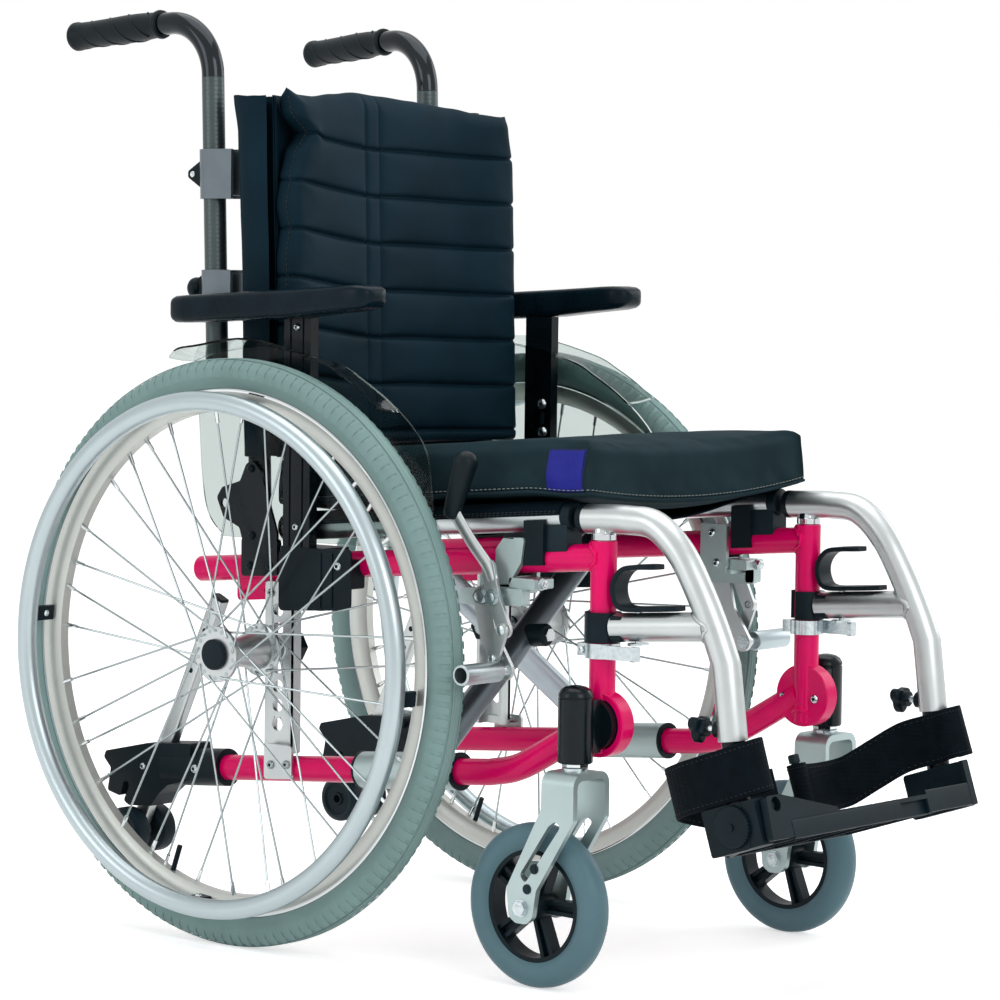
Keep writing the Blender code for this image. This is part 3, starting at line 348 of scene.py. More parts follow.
# %% [markdown]
# ## Finishes
# Every finish is a Principled shader with procedural detail: a slow noise that varies the
# colour a little, a finer one for roughness, and a bump at the true scale of the grain.


# %% A finish from noise
def feed(tree, node, inputs):
    """Sets a node's inputs, each to a value or to another node's output."""
    for name, given in inputs.items():
        if isinstance(given, bpy.types.NodeSocket):
            tree.links.new(given, node.inputs[name])
        else:
            node.inputs[name].default_value = given


def add(tree, kind, inputs=(), **options):
    """A new node's outputs."""
    node = tree.nodes.new("ShaderNode" + kind)
    for name, choice in options.items():
        setattr(node, name, choice)
    feed(tree, node, dict(inputs))
    return node.outputs


def bump(tree, height, depth, strength, under=None, invert=False):
    """A bump whose depth is in millimetres, over another one if there is one under it."""
    inputs = {"Height": height, "Distance": depth * MM, "Strength": strength}
    if under:
        inputs["Normal"] = under
    return add(tree, "Bump", inputs, invert=invert)["Normal"]


def finish(name, colour, rough, metal=0.0, spread=0.06, grain=0.0, grain_size=0.5,
           coat=0.0, rough_spread=0.06, patch=30.0, shine=0.5):
    """A surface with slight colour and gloss variation, and a bump grain in millimetres."""
    made = bpy.data.materials.new(name)
    made.use_nodes = True
    tree = made.node_tree
    place = add(tree, "TexCoord")["Object"]

    def noise_of(size, detail):
        inputs = {"Vector": place, "Scale": 1000.0 / size, "Detail": detail}
        return add(tree, "TexNoise", inputs)["Fac"]

    colours = add(tree, "ValToRGB", {"Fac": noise_of(patch, 4.0)})["Color"]
    for stop, at, share in zip(colours.node.color_ramp.elements, (0.3, 0.7), (-spread, spread)):
        stop.color = (*(min(1.0, c * (1 + share)) for c in colour), 1)
        stop.position = at
    gloss = add(tree, "MapRange", {"Value": noise_of(patch / 4, 3.0),
                                   "To Min": max(0.02, rough - rough_spread),
                                   "To Max": rough + rough_spread})["Result"]
    shader = tree.nodes["Principled BSDF"]
    feed(tree, shader, {"Metallic": metal, "Coat Weight": coat, "Coat Roughness": 0.06,
                        "Specular IOR Level": shine, "Base Color": colours, "Roughness": gloss})
    if grain:
        feed(tree, shader, {"Normal": bump(tree, noise_of(grain_size, 2.0), grain, 0.6)})
    return made


def leather_grain(material, size, depth):
    """Adds the pebbled grain of coated vinyl: small rounded cells over a slow ripple."""
    tree = material.node_tree
    place = add(tree, "TexCoord")["Object"]
    cells = add(tree, "TexVoronoi", {"Vector": place, "Scale": 1000.0 / size,
                                     "Randomness": 0.9}, feature="SMOOTH_F1")["Distance"]
    ripple = add(tree, "TexNoise", {"Vector": place, "Scale": 55.0, "Detail": 5.0})["Fac"]
    low = bump(tree, ripple, 1.2, 0.25)
    feed(tree, tree.nodes["Principled BSDF"], {"Normal": bump(tree, cells, depth, 0.5, low, True)})
    return material


def waves(tree, direction, pitch, distortion=0.0):
    """Evenly spaced ridges, a pitch in millimetres apart."""
    inputs = {"Vector": add(tree, "TexCoord")["Object"], "Scale": 1000.0 / pitch / 6.28,
              "Distortion": distortion}
    return add(tree, "TexWave", inputs, bands_direction=direction)["Fac"]


def weave(material, pitch, depth):
    """Adds a webbing's ribs: two crossed waves."""
    tree = material.node_tree
    ribs = {i: waves(tree, way, pitch, 0.4) for i, way in enumerate("XZ")}
    both = add(tree, "Math", ribs, operation="ADD")["Value"]
    feed(tree, tree.nodes["Principled BSDF"], {"Normal": bump(tree, both, depth, 0.6)})
    return material


# %% The chair's finishes
PAINT = finish("pink_red_paint", (0.86, 0.002, 0.14), 0.24, spread=0.05, grain=0.02,
               grain_size=1.2, coat=0.12, rough_spread=0.04, shine=0.12)
SATIN = finish("satin_aluminium", (0.50, 0.53, 0.53), 0.36, metal=1.0, spread=0.04,
               grain=0.012, grain_size=0.4)
CAST = finish("blasted_aluminium", (0.40, 0.49, 0.49), 0.42, metal=0.75, spread=0.05,
              grain=0.02, grain_size=0.5)
SEAT_TUBE = finish("seat_tube_aluminium", (0.50, 0.54, 0.55), 0.33, metal=1.0, spread=0.03)
BRACE_SILVER = finish("brace_aluminium", (0.43, 0.49, 0.53), 0.38, metal=0.9, spread=0.05)
ANODISED = finish("anodised_handrim", (0.42, 0.49, 0.51), 0.34, metal=0.9, spread=0.02,
                  rough_spread=0.02)
RIM = finish("rim_alloy", (0.53, 0.55, 0.52), 0.38, metal=0.65, spread=0.03, grain=0.01)
STEEL = finish("spoke_steel", (0.36, 0.41, 0.42), 0.24, metal=1.0, spread=0.05, patch=8)
CHROME = finish("chrome", (0.60, 0.63, 0.64), 0.1, metal=1.0, spread=0.02, rough_spread=0.03)
ZINC = finish("zinc_plate", (0.50, 0.56, 0.58), 0.25, metal=1.0, spread=0.12, patch=5)
GUNMETAL = finish("gunmetal_tube", (0.14, 0.17, 0.19), 0.34, metal=0.8, spread=0.08,
                  grain=0.01)
DARK_CHROME = finish("dark_chrome", (0.03, 0.034, 0.038), 0.13, metal=1.0, spread=0.05,
                     rough_spread=0.03)
BLACK = finish("black_moulding", (0.004, 0.0115, 0.0165), 0.42, spread=0.25, grain=0.03,
               grain_size=0.6, rough_spread=0.08, shine=0.12)
GREY_BLACK = finish("worn_black_moulding", (0.008, 0.019, 0.027), 0.5, spread=0.3, grain=0.04,
                    grain_size=0.6, rough_spread=0.1, shine=0.15)
BLACK_COAT = finish("black_powder_coat", (0.003, 0.0075, 0.0105), 0.22, spread=0.2, grain=0.02,
                    grain_size=0.8, shine=0.2)
RUBBER = finish("grip_rubber", (0.0035, 0.0095, 0.0125), 0.45, spread=0.25, grain=0.05,
                grain_size=0.8, shine=0.15)
TYRE = finish("grey_tyre", (0.215, 0.335, 0.325), 0.62, spread=0.07, grain=0.06,
              grain_size=1.0, patch=45, shine=0.3)
CASTOR_TYRE = finish("castor_tyre", (0.105, 0.195, 0.23), 0.42, spread=0.06, grain=0.02,
                     grain_size=1.5, patch=40, shine=0.2)
VINYL = leather_grain(finish("black_vinyl", (0.0045, 0.018, 0.029), 0.58, spread=0.2,
                             rough_spread=0.06, patch=60, shine=0.06), 1.1, 0.08)
SEAT_VINYL = leather_grain(finish("seat_vinyl", (0.014, 0.030, 0.037), 0.66, spread=0.15,
                                  rough_spread=0.05, patch=60, shine=0.02), 1.1, 0.08)
# The seat sheet's vinyl is the back sheet's black vinyl made darker: painted shade, standing for
# the shade under the seat cushion.
SHADED_SHEET_VINYL = leather_grain(finish("sheet_vinyl_painted_shade", (0.003, 0.008, 0.012), 0.66, spread=0.15,
                                   rough_spread=0.05, patch=60, shine=0.02), 1.1, 0.08)
PAD_SKIN = leather_grain(finish("armrest_skin", (0.003, 0.011, 0.017), 0.28, spread=0.25,
                                rough_spread=0.05, shine=0.09), 0.9, 0.05)
WEBBING = weave(finish("black_webbing", (0.0025, 0.0055, 0.0085), 0.75, spread=0.3, patch=12,
                       shine=0.06), 2.0, 0.25)
THREAD = finish("dark_thread", (0.020, 0.024, 0.026), 0.6, spread=0.2, patch=3, shine=0.2)
PALE_THREAD = finish("grey_thread", (0.20, 0.23, 0.23), 0.6, spread=0.15, patch=3, shine=0.2)
PATCH = finish("blue_patch", (0.008, 0.012, 0.24), 0.55, spread=0.12, grain=0.05, patch=4,
               shine=0.25)
PATCH_EDGE = finish("patch_border", (0.010, 0.014, 0.075), 0.6, spread=0.08, patch=3, shine=0.2)
CLEAR = finish("clear_plastic", (0.56, 0.63, 0.61), 0.06, spread=0.01, rough_spread=0.03)
feed(CLEAR.node_tree, CLEAR.node_tree.nodes["Principled BSDF"],
     {"Transmission Weight": 1.0, "IOR": 1.17})
print("finishes:", len(bpy.data.materials))


# %% [markdown]
# ## More makers for this chair
# Hollow tubes, so that one tube can slide in another. C-shaped clips. Strips with round
# ends for the brake. Weld beads that follow the line where two tubes meet. Hexagon and
# socket screws.


# %% Tubes, clips, strips, welds and screws
def pipe(points, radius, bore, count=28):
    """A tube with an open bore."""
    outer, _ = bar(points, radius, count)
    inner, _ = bar(points, bore, count)
    base, last = len(outer), len(outer) - count
    faces = []
    for i in range(len(points) - 1):
        for k in range(count):
            a, n = i * count + k, i * count + (k + 1) % count
            faces.append((a, n, n + count, a + count))
            faces.append((base + n, base + a, base + a + count, base + n + count))
    for k in range(count):
        n = (k + 1) % count
        faces.append((k, base + k, base + n, n))
        faces.append((last + k, last + n, base + last + n, base + last + k))
    return outer + inner, faces


def sector(cx, cy, inner, outer, start, end, steps=24):
    """The outline of a part of a ring, between two angles in degrees."""
    return arc(cx, cy, outer, start, end, steps) + arc(cx, cy, inner, start, end, steps)[::-1]


def strip(points, radius, steps=10):
    """The outline of a flat strip with round ends."""
    points = [Vector(p) for p in points]
    legs = [(b - a).normalized() for a, b in zip(points, points[1:])]

    def end(centre, way):
        turn = math.degrees(math.atan2(way.y, way.x))
        return arc(*centre, radius, turn + 90, turn - 90, steps)

    left, right = [], []
    for i in range(1, len(points) - 1):
        middle = (legs[i - 1] + legs[i]).normalized()
        out = Vector((-middle.y, middle.x)) * radius / middle.dot(legs[i])
        left.append(tuple(points[i] + out))
        right.append(tuple(points[i] - out))
    return left + end(points[-1], legs[-1]) + right[::-1] + end(points[0], -legs[0])


def clipped(outline, point, normal):
    """The part of an outline on the normal's side of a line."""
    point, normal = Vector(point), Vector(normal)
    out = []
    for i, p in enumerate(outline):
        a, b = Vector(outline[i - 1]), Vector(p)
        da, db = (a - point).dot(normal), (b - point).dot(normal)
        if (da > 0) != (db > 0):
            out.append(tuple(a + (b - a) * da / (da - db)))
        if db > 0:
            out.append(tuple(b))
    return out


def weld(centre, way, radius, main_way, main_radius, size=1.9, count=40):
    """A bead round a tube where it meets a larger or equal one."""
    centre, way, main = Vector(centre), Vector(way).normalized(), Vector(main_way).normalized()
    line = []
    for p in ring_at((0, 0, 0), way, radius + 0.4, count):
        q, w = p - main * p.dot(main), way - main * way.dot(main)
        a, b, c = w.dot(w), q.dot(w), q.dot(q) - main_radius**2
        reach = (-b + math.sqrt(max(b * b - a * c, 0.0))) / a
        line.append(centre + p + way * reach)
    rings = []
    for i, p in enumerate(line):
        along = line[(i + 1) % count] - line[i - 1]
        rings.append(ring_at(p, along, size * (1 + 0.12 * (i % 2)), 8))
    return loft(rings, closed=True)


def screw(at, way, radius=4.2, high=3.0, recess="hex"):
    """A button-head screw with a hexagon recess, or a hexagon head. Two lists of shells: the second
    holds a black hexagon on the button head, painted shade for the inside of its recess.
    """
    at, way = Vector(at), Vector(way).normalized()
    if recess == "bolt":
        return [
            rod(at, at + way * high * 0.3, radius * 1.12, 24),
            rod(at + way * high * 0.2, at + way * high, radius, 6),
            rod(at + way * high * 0.95, at + way * high * 1.08, radius * 0.72, 20, radius * 0.5),
        ], []
    rings = []
    for a, r in ((0, radius), (high * 0.35, radius), (high * 0.75, radius * 0.85),
                 (high, radius * 0.55), (high * 0.96, radius * 0.5)):
        rings.append(ring_at(at + way * a, way, r, 24))
    # The black hexagon stands just above the head's shallow dish: painted shade for the inside of
    # the recess.
    return [loft(rings)], [rod(at + way * high * 0.9, at + way * (high + 0.06), radius * 0.42, 6)]


def screws(*places):
    """The heads of several screws, and the black hexagons on them that are painted shade for the
    inside of each recess.
    """
    heads, recess_shade = [], []
    for place in places:
        one, two = screw(*place)
        heads += one
        recess_shade += two
    return heads, recess_shade


print("more makers ready")

# %% [markdown]
# ## Side frames
# Each frame is one weldment: a front tube, two rails, a round boss for the castor housing
# and a lug for the axle plate. The weld beads follow the tubes, and paint runs over them.

# %% Side frame weldment
UP, BACK = (0, 0, 1), (0, 1, 0)
RIGHT, LEFT = (-1, 0, 0), (1, 0, 0)
HUG = TUBE_R + 0.3  # what fits round a rail or a seat tube
DROP = 1.4  # how far the seat tube's cradle ends below the tube's middle
bend = [(X, -104, lower_z(-104)), (X, -134, 190), (X, -164, 204), (X, -228, 241)]
low_path = [(X, y, lower_z(y)) for y in (300, 80, -60)] + smooth_path(bend, 8)
lug = rounded([(160, 327), (216, 322), (216, 350), (160, 352)], 5)
boss = [(-158.2, 0), (-158.2, 24.4), (-169, 24.4), (-169, 29), (-168, 30), (-152.5, 30),
        (-151.5, 29), (-151.5, 0)]
frame_paint = [
    pipe([(X, FRONT_Y, 214), (X, FRONT_Y, 405)], 12, 8.6),
    bar([(X, 265, upper_z(265)), (X, FRONT_Y, upper_z(FRONT_Y))], TUBE_R, 32),
    bar(low_path, TUBE_R, 32),
    lathe(boss, (0, FRONT_Y - 1, 240)),
    plate(lug, X - 2, X + 2, holes=(circle(178, 334, 2.6), circle(204, 332, 2.6))),
    weld((X, FRONT_Y, upper_z(FRONT_Y)), BACK, TUBE_R, UP, 12),
    weld((X, FRONT_Y, 214.5), UP, 12, LEFT, 12.6, 1.5),
]
frame_paint += [bar([(X + d, y, upper_z(y) - 11.9) for y in (162, 188, 214)], 1.7, 8)
                for d in (2.4, -2.4)]


def saddle_section(y):
    """A block that fills the gap between the rail and the seat tube, and hugs both."""
    outline = arc(X, upper_z(y), HUG, 150, 30, 12) + arc(X, seat_z(y), HUG, -30, -150, 12)
    return [(a, y, b) for a, b in outline]


def clip_section(y, wall=15.4):
    """A cradle that the seat tube drops in. It reaches down the rail's sides."""
    foot, top = upper_z(y) - 5.6, seat_z(y) - DROP
    outline = [(X - wall, foot), (X + wall, foot), (X + wall, top)]
    outline += arc(X, top, HUG, 0, -180, 16, HUG - DROP) + [(X - wall, top)]
    return [(a, y, b) for a, b in outline]


saddle = loft([saddle_section(-200), saddle_section(-153)])
catch = [
    barrel(299.5, 313, 16, (X, FRONT_Y, 0), "z", 48, 12.3),
    block((-174.5, -171), (-279, -240), (300, 312.5)),
    block((-175, -166), (-281, -276.5), (299.5, 313), 1.5, "y"),
    block((-165, -155), (-222, -208), (300.5, 312), 2, "z"),
]
clip = [loft([clip_section(-176), clip_section(-153)])]
heads, recess_shade = screws(
    ((-151.5, STEM_Y - 18, 238), LEFT, 4.4), ((-151.5, STEM_Y + 18, 238), LEFT, 4.4),
    ((-189.5, 60, 366), RIGHT, 4.4), ((-165, -215, 306), RIGHT, 3.6, 3, "bolt"),
)
socket = [(-187.9, 98.6), (-187.9, 133.4), (-176.1, 133.4), (-176.1, 98.6)]
socket_face = rounded([(44, 325), (136, 319), (136, 378), (44, 383)], 6)
socket_parts = [
    plate(rectangle((-188.5, -147.5), (82, 137), 4), 322, 381, "z", (socket,)),
    plate(socket_face, -189.5, -187.8),
    block((-188, -165), (48, 84), (344, 372), 3), block((-190.6, -188), (81, 84), (325, 377), 1),
    block((-190.6, -188), (66.6, 69.4), (326, 378), 1),
]
pair("side_frame", "frame", {
    PAINT: frame_paint, GREY_BLACK: [saddle], ZINC: catch + heads,
    BLACK: clip + recess_shade + socket_parts,
})

# %% [markdown]
# ## Axle plate
# A channel with a column of axle holes, so that a therapist can set the seat height. The
# receiver is screwed in one hole. The quick-release axle stands in the receiver.

# %% Axle plate
AXLE_AT = (0, *AXLE)
holes = [circle(AXLE[0], z, 6.5) for z in (206, 224.5, 243, 261.5, 298.5, 317)]
shell = rounded([(130, 156), (166, 153), (166, 188), (130, 188)], 4)
heads, recess_shade = screws(((-176, 156.7, 167.7), RIGHT, 4.2), ((-176, 136.4, 169.6), RIGHT, 4.2),
                     ((-167, 166, 333), RIGHT, 4.2))
pair("axle_plate", "frame", {
    SATIN: [
        plate(rectangle((140, 174), (178.5, 344), 5), -167, -163, holes=holes),
        block((-166.8, -152.5), (140, 144), (178.5, 344), 2, "y"),
        block((-166.8, -152.5), (170, 174), (178.5, 344), 2, "y"),
        plate(shell, -176, -172.8),
        block((-174.5, -160), (141, 165), (180, 187), 2),
        lathe([(-172, 0), (-172, 13), (-171, 14), (-165, 14), (-165, 0)], AXLE_AT, steps=40),
        barrel(-166, -150, 11, AXLE_AT, steps=40),
    ],
    STEEL: [
        lathe([(-246, 0), (-246, 4.5), (-244, 6), (-180, 6), (-180, 0)], AXLE_AT, steps=32),
        lathe([(-186, 0), (-186, 7.4), (-185.4, 8), (-138, 8), (-138, 0)], AXLE_AT, steps=32),
    ] + heads,
    BLACK: [rod((-152, *AXLE), (-140, *AXLE), 15, 6)] + recess_shade,
})

# %% [markdown]
# ## Rear wheels
# 36 spokes cross from two flanges to the rim, 18 on each side, in pairs that lean
# forwards and back. Each has an elbow at its flange and a nipple at the rim. The hub is a
# waisted barrel with a push button in a black cap for the quick-release axle.

# %% Wheel, tyre and handrim
WX = -WHEEL_X
rim = lathe(mirrored([(WX - 11, 250.5), (WX - 11.2, 247), (WX - 10.6, 241), (WX - 7, 233),
                      (WX - 5, 231)], WX), AXLE_AT, steps=160)
lips = [lathe([(x, 248.6), (x - 0.7, 250), (x, 251.4), (x + 0.9, 250)], AXLE_AT, steps=160)
        for x in (WX - 11.2, WX + 10.9)]
hub = lathe([(-254, 8.4), (-254, 25.6), (-253.3, 26.5), (-249.7, 26.5), (-249, 25.6),
             (-247.6, 19.6), (-244, 17.4), (-236, 14.4), (-228, 13.4), (-218, 14.6),
             (-206, 16.6), (-194.5, 18.2), (-193.6, 24.6), (-193, 25.5), (-190.1, 25.5),
             (-189.5, 24.6), (-188.6, 18.2), (-188, 17.4), (-188, 8.4)], AXLE_AT, steps=72)
SPOKES_A_SIDE, SPOKE_LEAN, SPOKE_END_R = 18, math.radians(62), 233
spokes, nipples, elbows = [], [], []
for flange, hub_radius, rim_x in ((-251.5, 22.8, WX - 2.5), (-191.8, 22, WX + 2.5)):
    for k in range(SPOKES_A_SIDE):
        side = 1 if k % 2 else -1
        base = 2 * math.pi * (k + (0.53 if flange < WX else 0.03)) / SPOKES_A_SIDE
        near, far = [Vector((x + side * out, AXLE[0] + math.cos(a) * r, AXLE[1] + math.sin(a) * r))
                     for x, out, a, r in ((flange, 3.2, base, hub_radius),
                                          (rim_x, 1.2, base + side * SPOKE_LEAN, SPOKE_END_R))]
        way, across = (far - near).normalized(), Vector((side, 0, 0))
        spokes.append(rod(near, far, 1.05, 10))
        nipples.append(rod(far - way * 14, far + way * 1.5, 1.9, 10, 2.3))
        elbows.append(rod(near + across * 0.6, near - across * 5.6, 1.25, 10))
        elbows.append(rod(near - across * 4.6, near - across * 5.9, 2.2, 12))
valve = moved(rod((WX, AXLE[0], AXLE[1] + 234), (WX, AXLE[0], AXLE[1] + 205), 2.6, 16),
              turn_about((WX, *AXLE), math.radians(200)))
pair("rear_wheel", "wheel", {
    RIM: [rim], CHROME: lips + nipples, SATIN: [hub], STEEL: spokes + elbows,
    BLACK: [lathe([(-254.2, 0), (-254.2, 14.8), (-257.6, 14.6), (-258.8, 13.2), (-259, 0)],
                  AXLE_AT, steps=48), valve],
}, bevel=0)

half = [(WX + a, r) for a, r in (
    (-10, 251), (-13.5, 254), (-15.6, 259), (-16, 263), (-15.6, 267), (-14.4, 271), (-12, 275),
    (-8.5, 277.6), (-4, 279.4))]
tyre_shell = lathe(mirrored(half, WX, [(WX, TYRE_R)]), AXLE_AT, steps=192)
# A tread block's section: how far out, half its length, its radius, and its lean.
TREAD_BLOCK = ((16.1, 3.2, 262, 0), (15.4, 3.4, 271, 0), (9.5, 3.4, 278.6, 0.6),
               (9.5, 3, 276, 0), (13, 3, 264, 0))
TREAD_BLOCKS = 150
blocks = []
for k in range(TREAD_BLOCKS):
    turn = turn_about((WX, *AXLE), 2 * math.pi * (k + 0.25) / TREAD_BLOCKS)
    for side in (-1, 1):
        ends = [[(WX + side * out, AXLE[0] + end * long + side * lean, AXLE[1] + r)
                 for out, long, r, lean in TREAD_BLOCK] for end in (-1, 1)]
        blocks.append(moved(loft(ends), turn))
grooves = [lathe([(WX + a - 0.6, 279.2), (WX + a, TYRE_R), (WX + a + 0.6, 279.2)],
                 AXLE_AT, steps=192) for a in (-6, -2, 2, 6)]
pair("rear_tyre", "wheel", {TYRE: [tyre_shell] + blocks + grooves}, bevel=0)

tabs, bolts = [], []
for k in range(4):
    turn = turn_about(AXLE_AT, k * math.pi / 2 + 0.1)
    tab = block((-HANDRIM_X + 3, WX - 11.3), (AXLE[0] - 7, AXLE[0] + 7),
                (AXLE[1] + 234.6, AXLE[1] + 240.4), 2, "y")
    tabs.append(moved(tab, turn))
    bolts += [moved(shell, turn)
              for shell in screw((-251, AXLE[0], AXLE[1] + 234.8), (0, 0, -1), 3.4, 2.4)[0]]
handrim = lathe(circle(-HANDRIM_X, HANDRIM_R, HANDRIM_TUBE), AXLE_AT, steps=176)
pair("handrim", "wheel", {ANODISED: [handrim], BLACK: tabs, ZINC: bolts})

# %% [markdown]
# ## Castors
# The housing is bolted in the frame's round boss. Its dome has a seam a little below the
# top. The fork is one plate bent into an upside-down U, with dog-leg legs and a long slot.
# The slot and the two plugged holes beside it are how the wheel's height is set.

# %% Castor housing, fork and wheel
CX = -CASTOR_X
AT = (CX, STEM_Y, 0)
housing = [
    lathe([(262, 0), (262, 8.3), (207.5, 8.3), (207.5, 15), (208.5, 16), (265.6, 16),
           (266, 15.3), (266.8, 15.3), (267.2, 16), (270, 15.6), (273.4, 13.6), (276, 9.6),
           (277.3, 4), (277.5, 0)], AT, "z", 64),
    block((-190, -174), (STEM_Y - 13, STEM_Y + 13), (216, 264), 3, "z"),
    barrel(-176, -158.6, 23.4, (0, FRONT_Y - 1, 240), steps=56),
]
nut = [(203.6, 8.4), (203.6, 11), (204.4, 12), (207.4, 12), (207.4, 8.4)]
pair("castor_housing", "frame", {BLACK_COAT: housing, CHROME: [lathe(nut, AT, "z", 6)]})

LEG_TOP, LEG_OUT, LEG_IN = 186, 26, 20  # where the legs join the crown, and their two faces
leg = [(STEM_Y - 19, LEG_TOP), (STEM_Y + 17.6, LEG_TOP), (STEM_Y + 18, 166),
       (CASTOR_Y + 17, 92), (CASTOR_Y + 14, 66), (CASTOR_Y + 6, 61), (CASTOR_Y - 6, 61),
       (CASTOR_Y - 13, 67), (CASTOR_Y - 17, 92), (STEM_Y - 19, 158)]
slot = [(STEM_Y - 5, 153), (STEM_Y + 2, 157), (STEM_Y + 9, 152), (CASTOR_Y + 2, 105),
        (CASTOR_Y - 4, 98), (CASTOR_Y - 9, 104)]
leg, slot = leg[:2] + rounded(leg, 7, 6)[14:], rounded(slot, 5, 6)  # its top corners stay sharp
over, under = (
    mirrored([(CX - x, LEG_TOP)] + arc(CX - x + bend_r, top - bend_r, bend_r, 180, 90, 8), CX)
    for x, top, bend_r in ((LEG_OUT, 200.5, 12), (LEG_IN, 194, 7)))
front_y, rear_y = leg[0][0], leg[1][0]
crown = loft([[(a, front_y, b), (a, rear_y, b), (c, rear_y, d), (c, front_y, d)]
              for (a, b), (c, d) in zip(over, under)], caps=False)


def open_top(shell):
    """A leg without its top face, where the crown carries on."""
    verts, faces = shell
    return verts, [f for f in faces if any(abs(verts[i][2] - LEG_TOP) > 0.001 for i in f)]


fork = [crown] + [open_top(plate(leg, *sorted((CX + side * LEG_OUT, CX + side * LEG_IN)),
                                 holes=(slot,))) for side in (-1, 1)]
plugs = []
bolts = [
    rod((CX, STEM_Y, 199), (CX, STEM_Y, 203.4), 12, 32),
    rod((CX, STEM_Y, 195), (CX, STEM_Y, 260), 7.6, 28),
    rod((CX - 29, CASTOR_Y, CASTOR_R), (CX + 29, CASTOR_Y, CASTOR_R), 4, 20),
]
for side in (-1, 1):
    x = CX + side * LEG_OUT
    for y, z in ((CASTOR_Y - 7, 93), (CASTOR_Y - 15, 112)):
        plugs.append(rod((x - side * 2, y, z), (x + side * 0.8, y, z), 4.6, 24))
        plugs.append(rod((x, y, z), (x + side * 1.3, y, z), 2.4, 20))
    bolts += screw((x, CASTOR_Y, CASTOR_R), (side, 0, 0), 7, 4, "bolt")[0]
pair("castor_fork", "castor", {CAST: fork, GREY_BLACK: plugs, ZINC: bolts})

HUB = (0, CASTOR_Y, CASTOR_R)
half = [(CX + a, r) for a, r in ((-8, 50), (-11.5, 53), (-13.6, 58), (-14, 62), (-13.2, 67),
                                 (-10.6, 71.6), (-6.6, 74.2))]
spokes = []
for k in range(5):
    turn = turn_about(HUB, 2 * math.pi * k / 5 + 0.3)
    y, z = CASTOR_Y, CASTOR_R
    for side in (-1, 1):
        face = [(y + side * a, z + b) for a, b in ((2.2, 10), (5.6, 10), (7.4, 50), (3.4, 50))]
        spokes.append(moved(plate(rounded(face, 0.8), CX - 6.5, CX + 6.5), turn))
    spokes.append(moved(block((CX - 2, CX + 2), (y - 5, y + 5), (z + 10, z + 50)), turn))
barrel_half = [(CX - 17, 4.6), (CX - 17, 10), (CX - 14, 12), (CX - 6, 14)]
pair("castor_wheel", "castor_wheel", {
    CASTOR_TYRE: [lathe(mirrored(half, CX, [(CX, CASTOR_R)]), HUB, steps=128)],
    BLACK: [barrel(CX - 9.5, CX + 9.5, 52.4, HUB, bore=47),
            lathe(mirrored(barrel_half, CX), HUB, steps=48)] + spokes,
    ZINC: [barrel(CX - 18.6, CX + 18.6, 7.4, HUB, steps=32, bore=4.6)],
})

# %% [markdown]
# ## Anti-tip wheels
# A moulding on the rail's end holds a bar that slides. It is made of two cheeks with a
# front and a back filler, which leave the slot that the bar runs in.

# %% Anti-tip bracket, bar and wheels
BAR_TOP, BAR_FOOT = Vector((X, 241, 322)), Vector((X, 348, 90))
way = (BAR_FOOT - BAR_TOP).normalized()
across = Vector((-way.z, way.y))  # in (y, z), towards the back of the chair
line = Vector((BAR_TOP.y, BAR_TOP.z))
outline = [(266, 178), (325, 173.6), (383, 161), (386, 154.5), (376, 144.5), (380.6, 121.3),
           (362, 117), (358, 132), (352, 134), (350, 128), (358, 113), (350, 109), (320, 111),
           (309.5, 124), (297, 134), (266, 141.7)]
outline = rounded(outline, 3.5)
rail_end = [(X, y, lower_z(y)) for y in (228, 301)]
heads, recess_shade = screws(((-178.4, 256, lower_z(256)), RIGHT, 4.2), ((-175, 330, 150), RIGHT, 3.6))
pair("antitip_bracket", "frame", {
    BLACK: [
        plate(outline, X - 15, X - 6.5), plate(outline, X + 6.5, X + 15),
        plate(clipped(outline, line + across * 8.5, across), X - 6.6, X + 6.6),
        plate(clipped(outline, line - across * 8.5, -across), X - 6.6, X + 6.6),
        pipe(rail_end + [(X, 306, lower_z(306))], 18.5, 12.6, 36),
    ] + recess_shade,
    ZINC: heads,
})


def bar_section(p, half_x, half_y, soft=2.5):
    """A rounded rectangle square to the anti-tip bar."""
    side = Vector((0, -way.z, way.y))
    return [p + Vector((a, 0, 0)) + side * b
            for a, b in rectangle((-half_x, half_x), (-half_y, half_y), soft)]


TIP = (348.0, 84.0)
TIP_AT = (0, *TIP)
# The bar's holes: a zinc pin stands in the top one, and black rods fill the others, painted shade
# for open holes.
holes = [BAR_TOP + way * d for d in (14, 36, 58, 80)]
pair("antitip_bar", "antitip_bar", {
    SATIN: [loft([bar_section(BAR_TOP, 6, 8), bar_section(BAR_FOOT, 6, 8)]),
            barrel(X - 6, X + 6, 9, TIP_AT, steps=32, bore=4.4)],
    BLACK: [rod(p - Vector((6.15, 0, 0)), p + Vector((6.15, 0, 0)), 3, 20) for p in holes[1:]]
    + [loft([bar_section(BAR_TOP - way * 2, 5.6, 7.6), bar_section(BAR_TOP + way, 6.1, 8.1)])],
    ZINC: [rod(holes[0] - Vector((7.4, 0, 0)), holes[0], 3, 20)],
})
twins, tips = [], []
for side in (-1, 1):
    a, b = X + side * 8, X + side * 28
    half = [(a, 17), (a, 20), (a + side * 2.4, 23.4), (a + side * 5, 24)]
    twins.append(lathe(mirrored(half, (a + b) / 2), TIP_AT, steps=72))
    tips.append(lathe([(a + side, 4.2), (a + side, 17.2)] + [(b - side * d, r) for d, r in (
        (0.6, 17.2), (2.6, 15), (2.6, 7), (0.4, 6.4), (0.4, 4.2))], TIP_AT, steps=56))
pair("antitip_wheels", "antitip_wheels", {
    GREY_BLACK: twins, BLACK: tips, ZINC: [rod((-180, *TIP), (-140, *TIP), 4, 20)],
})

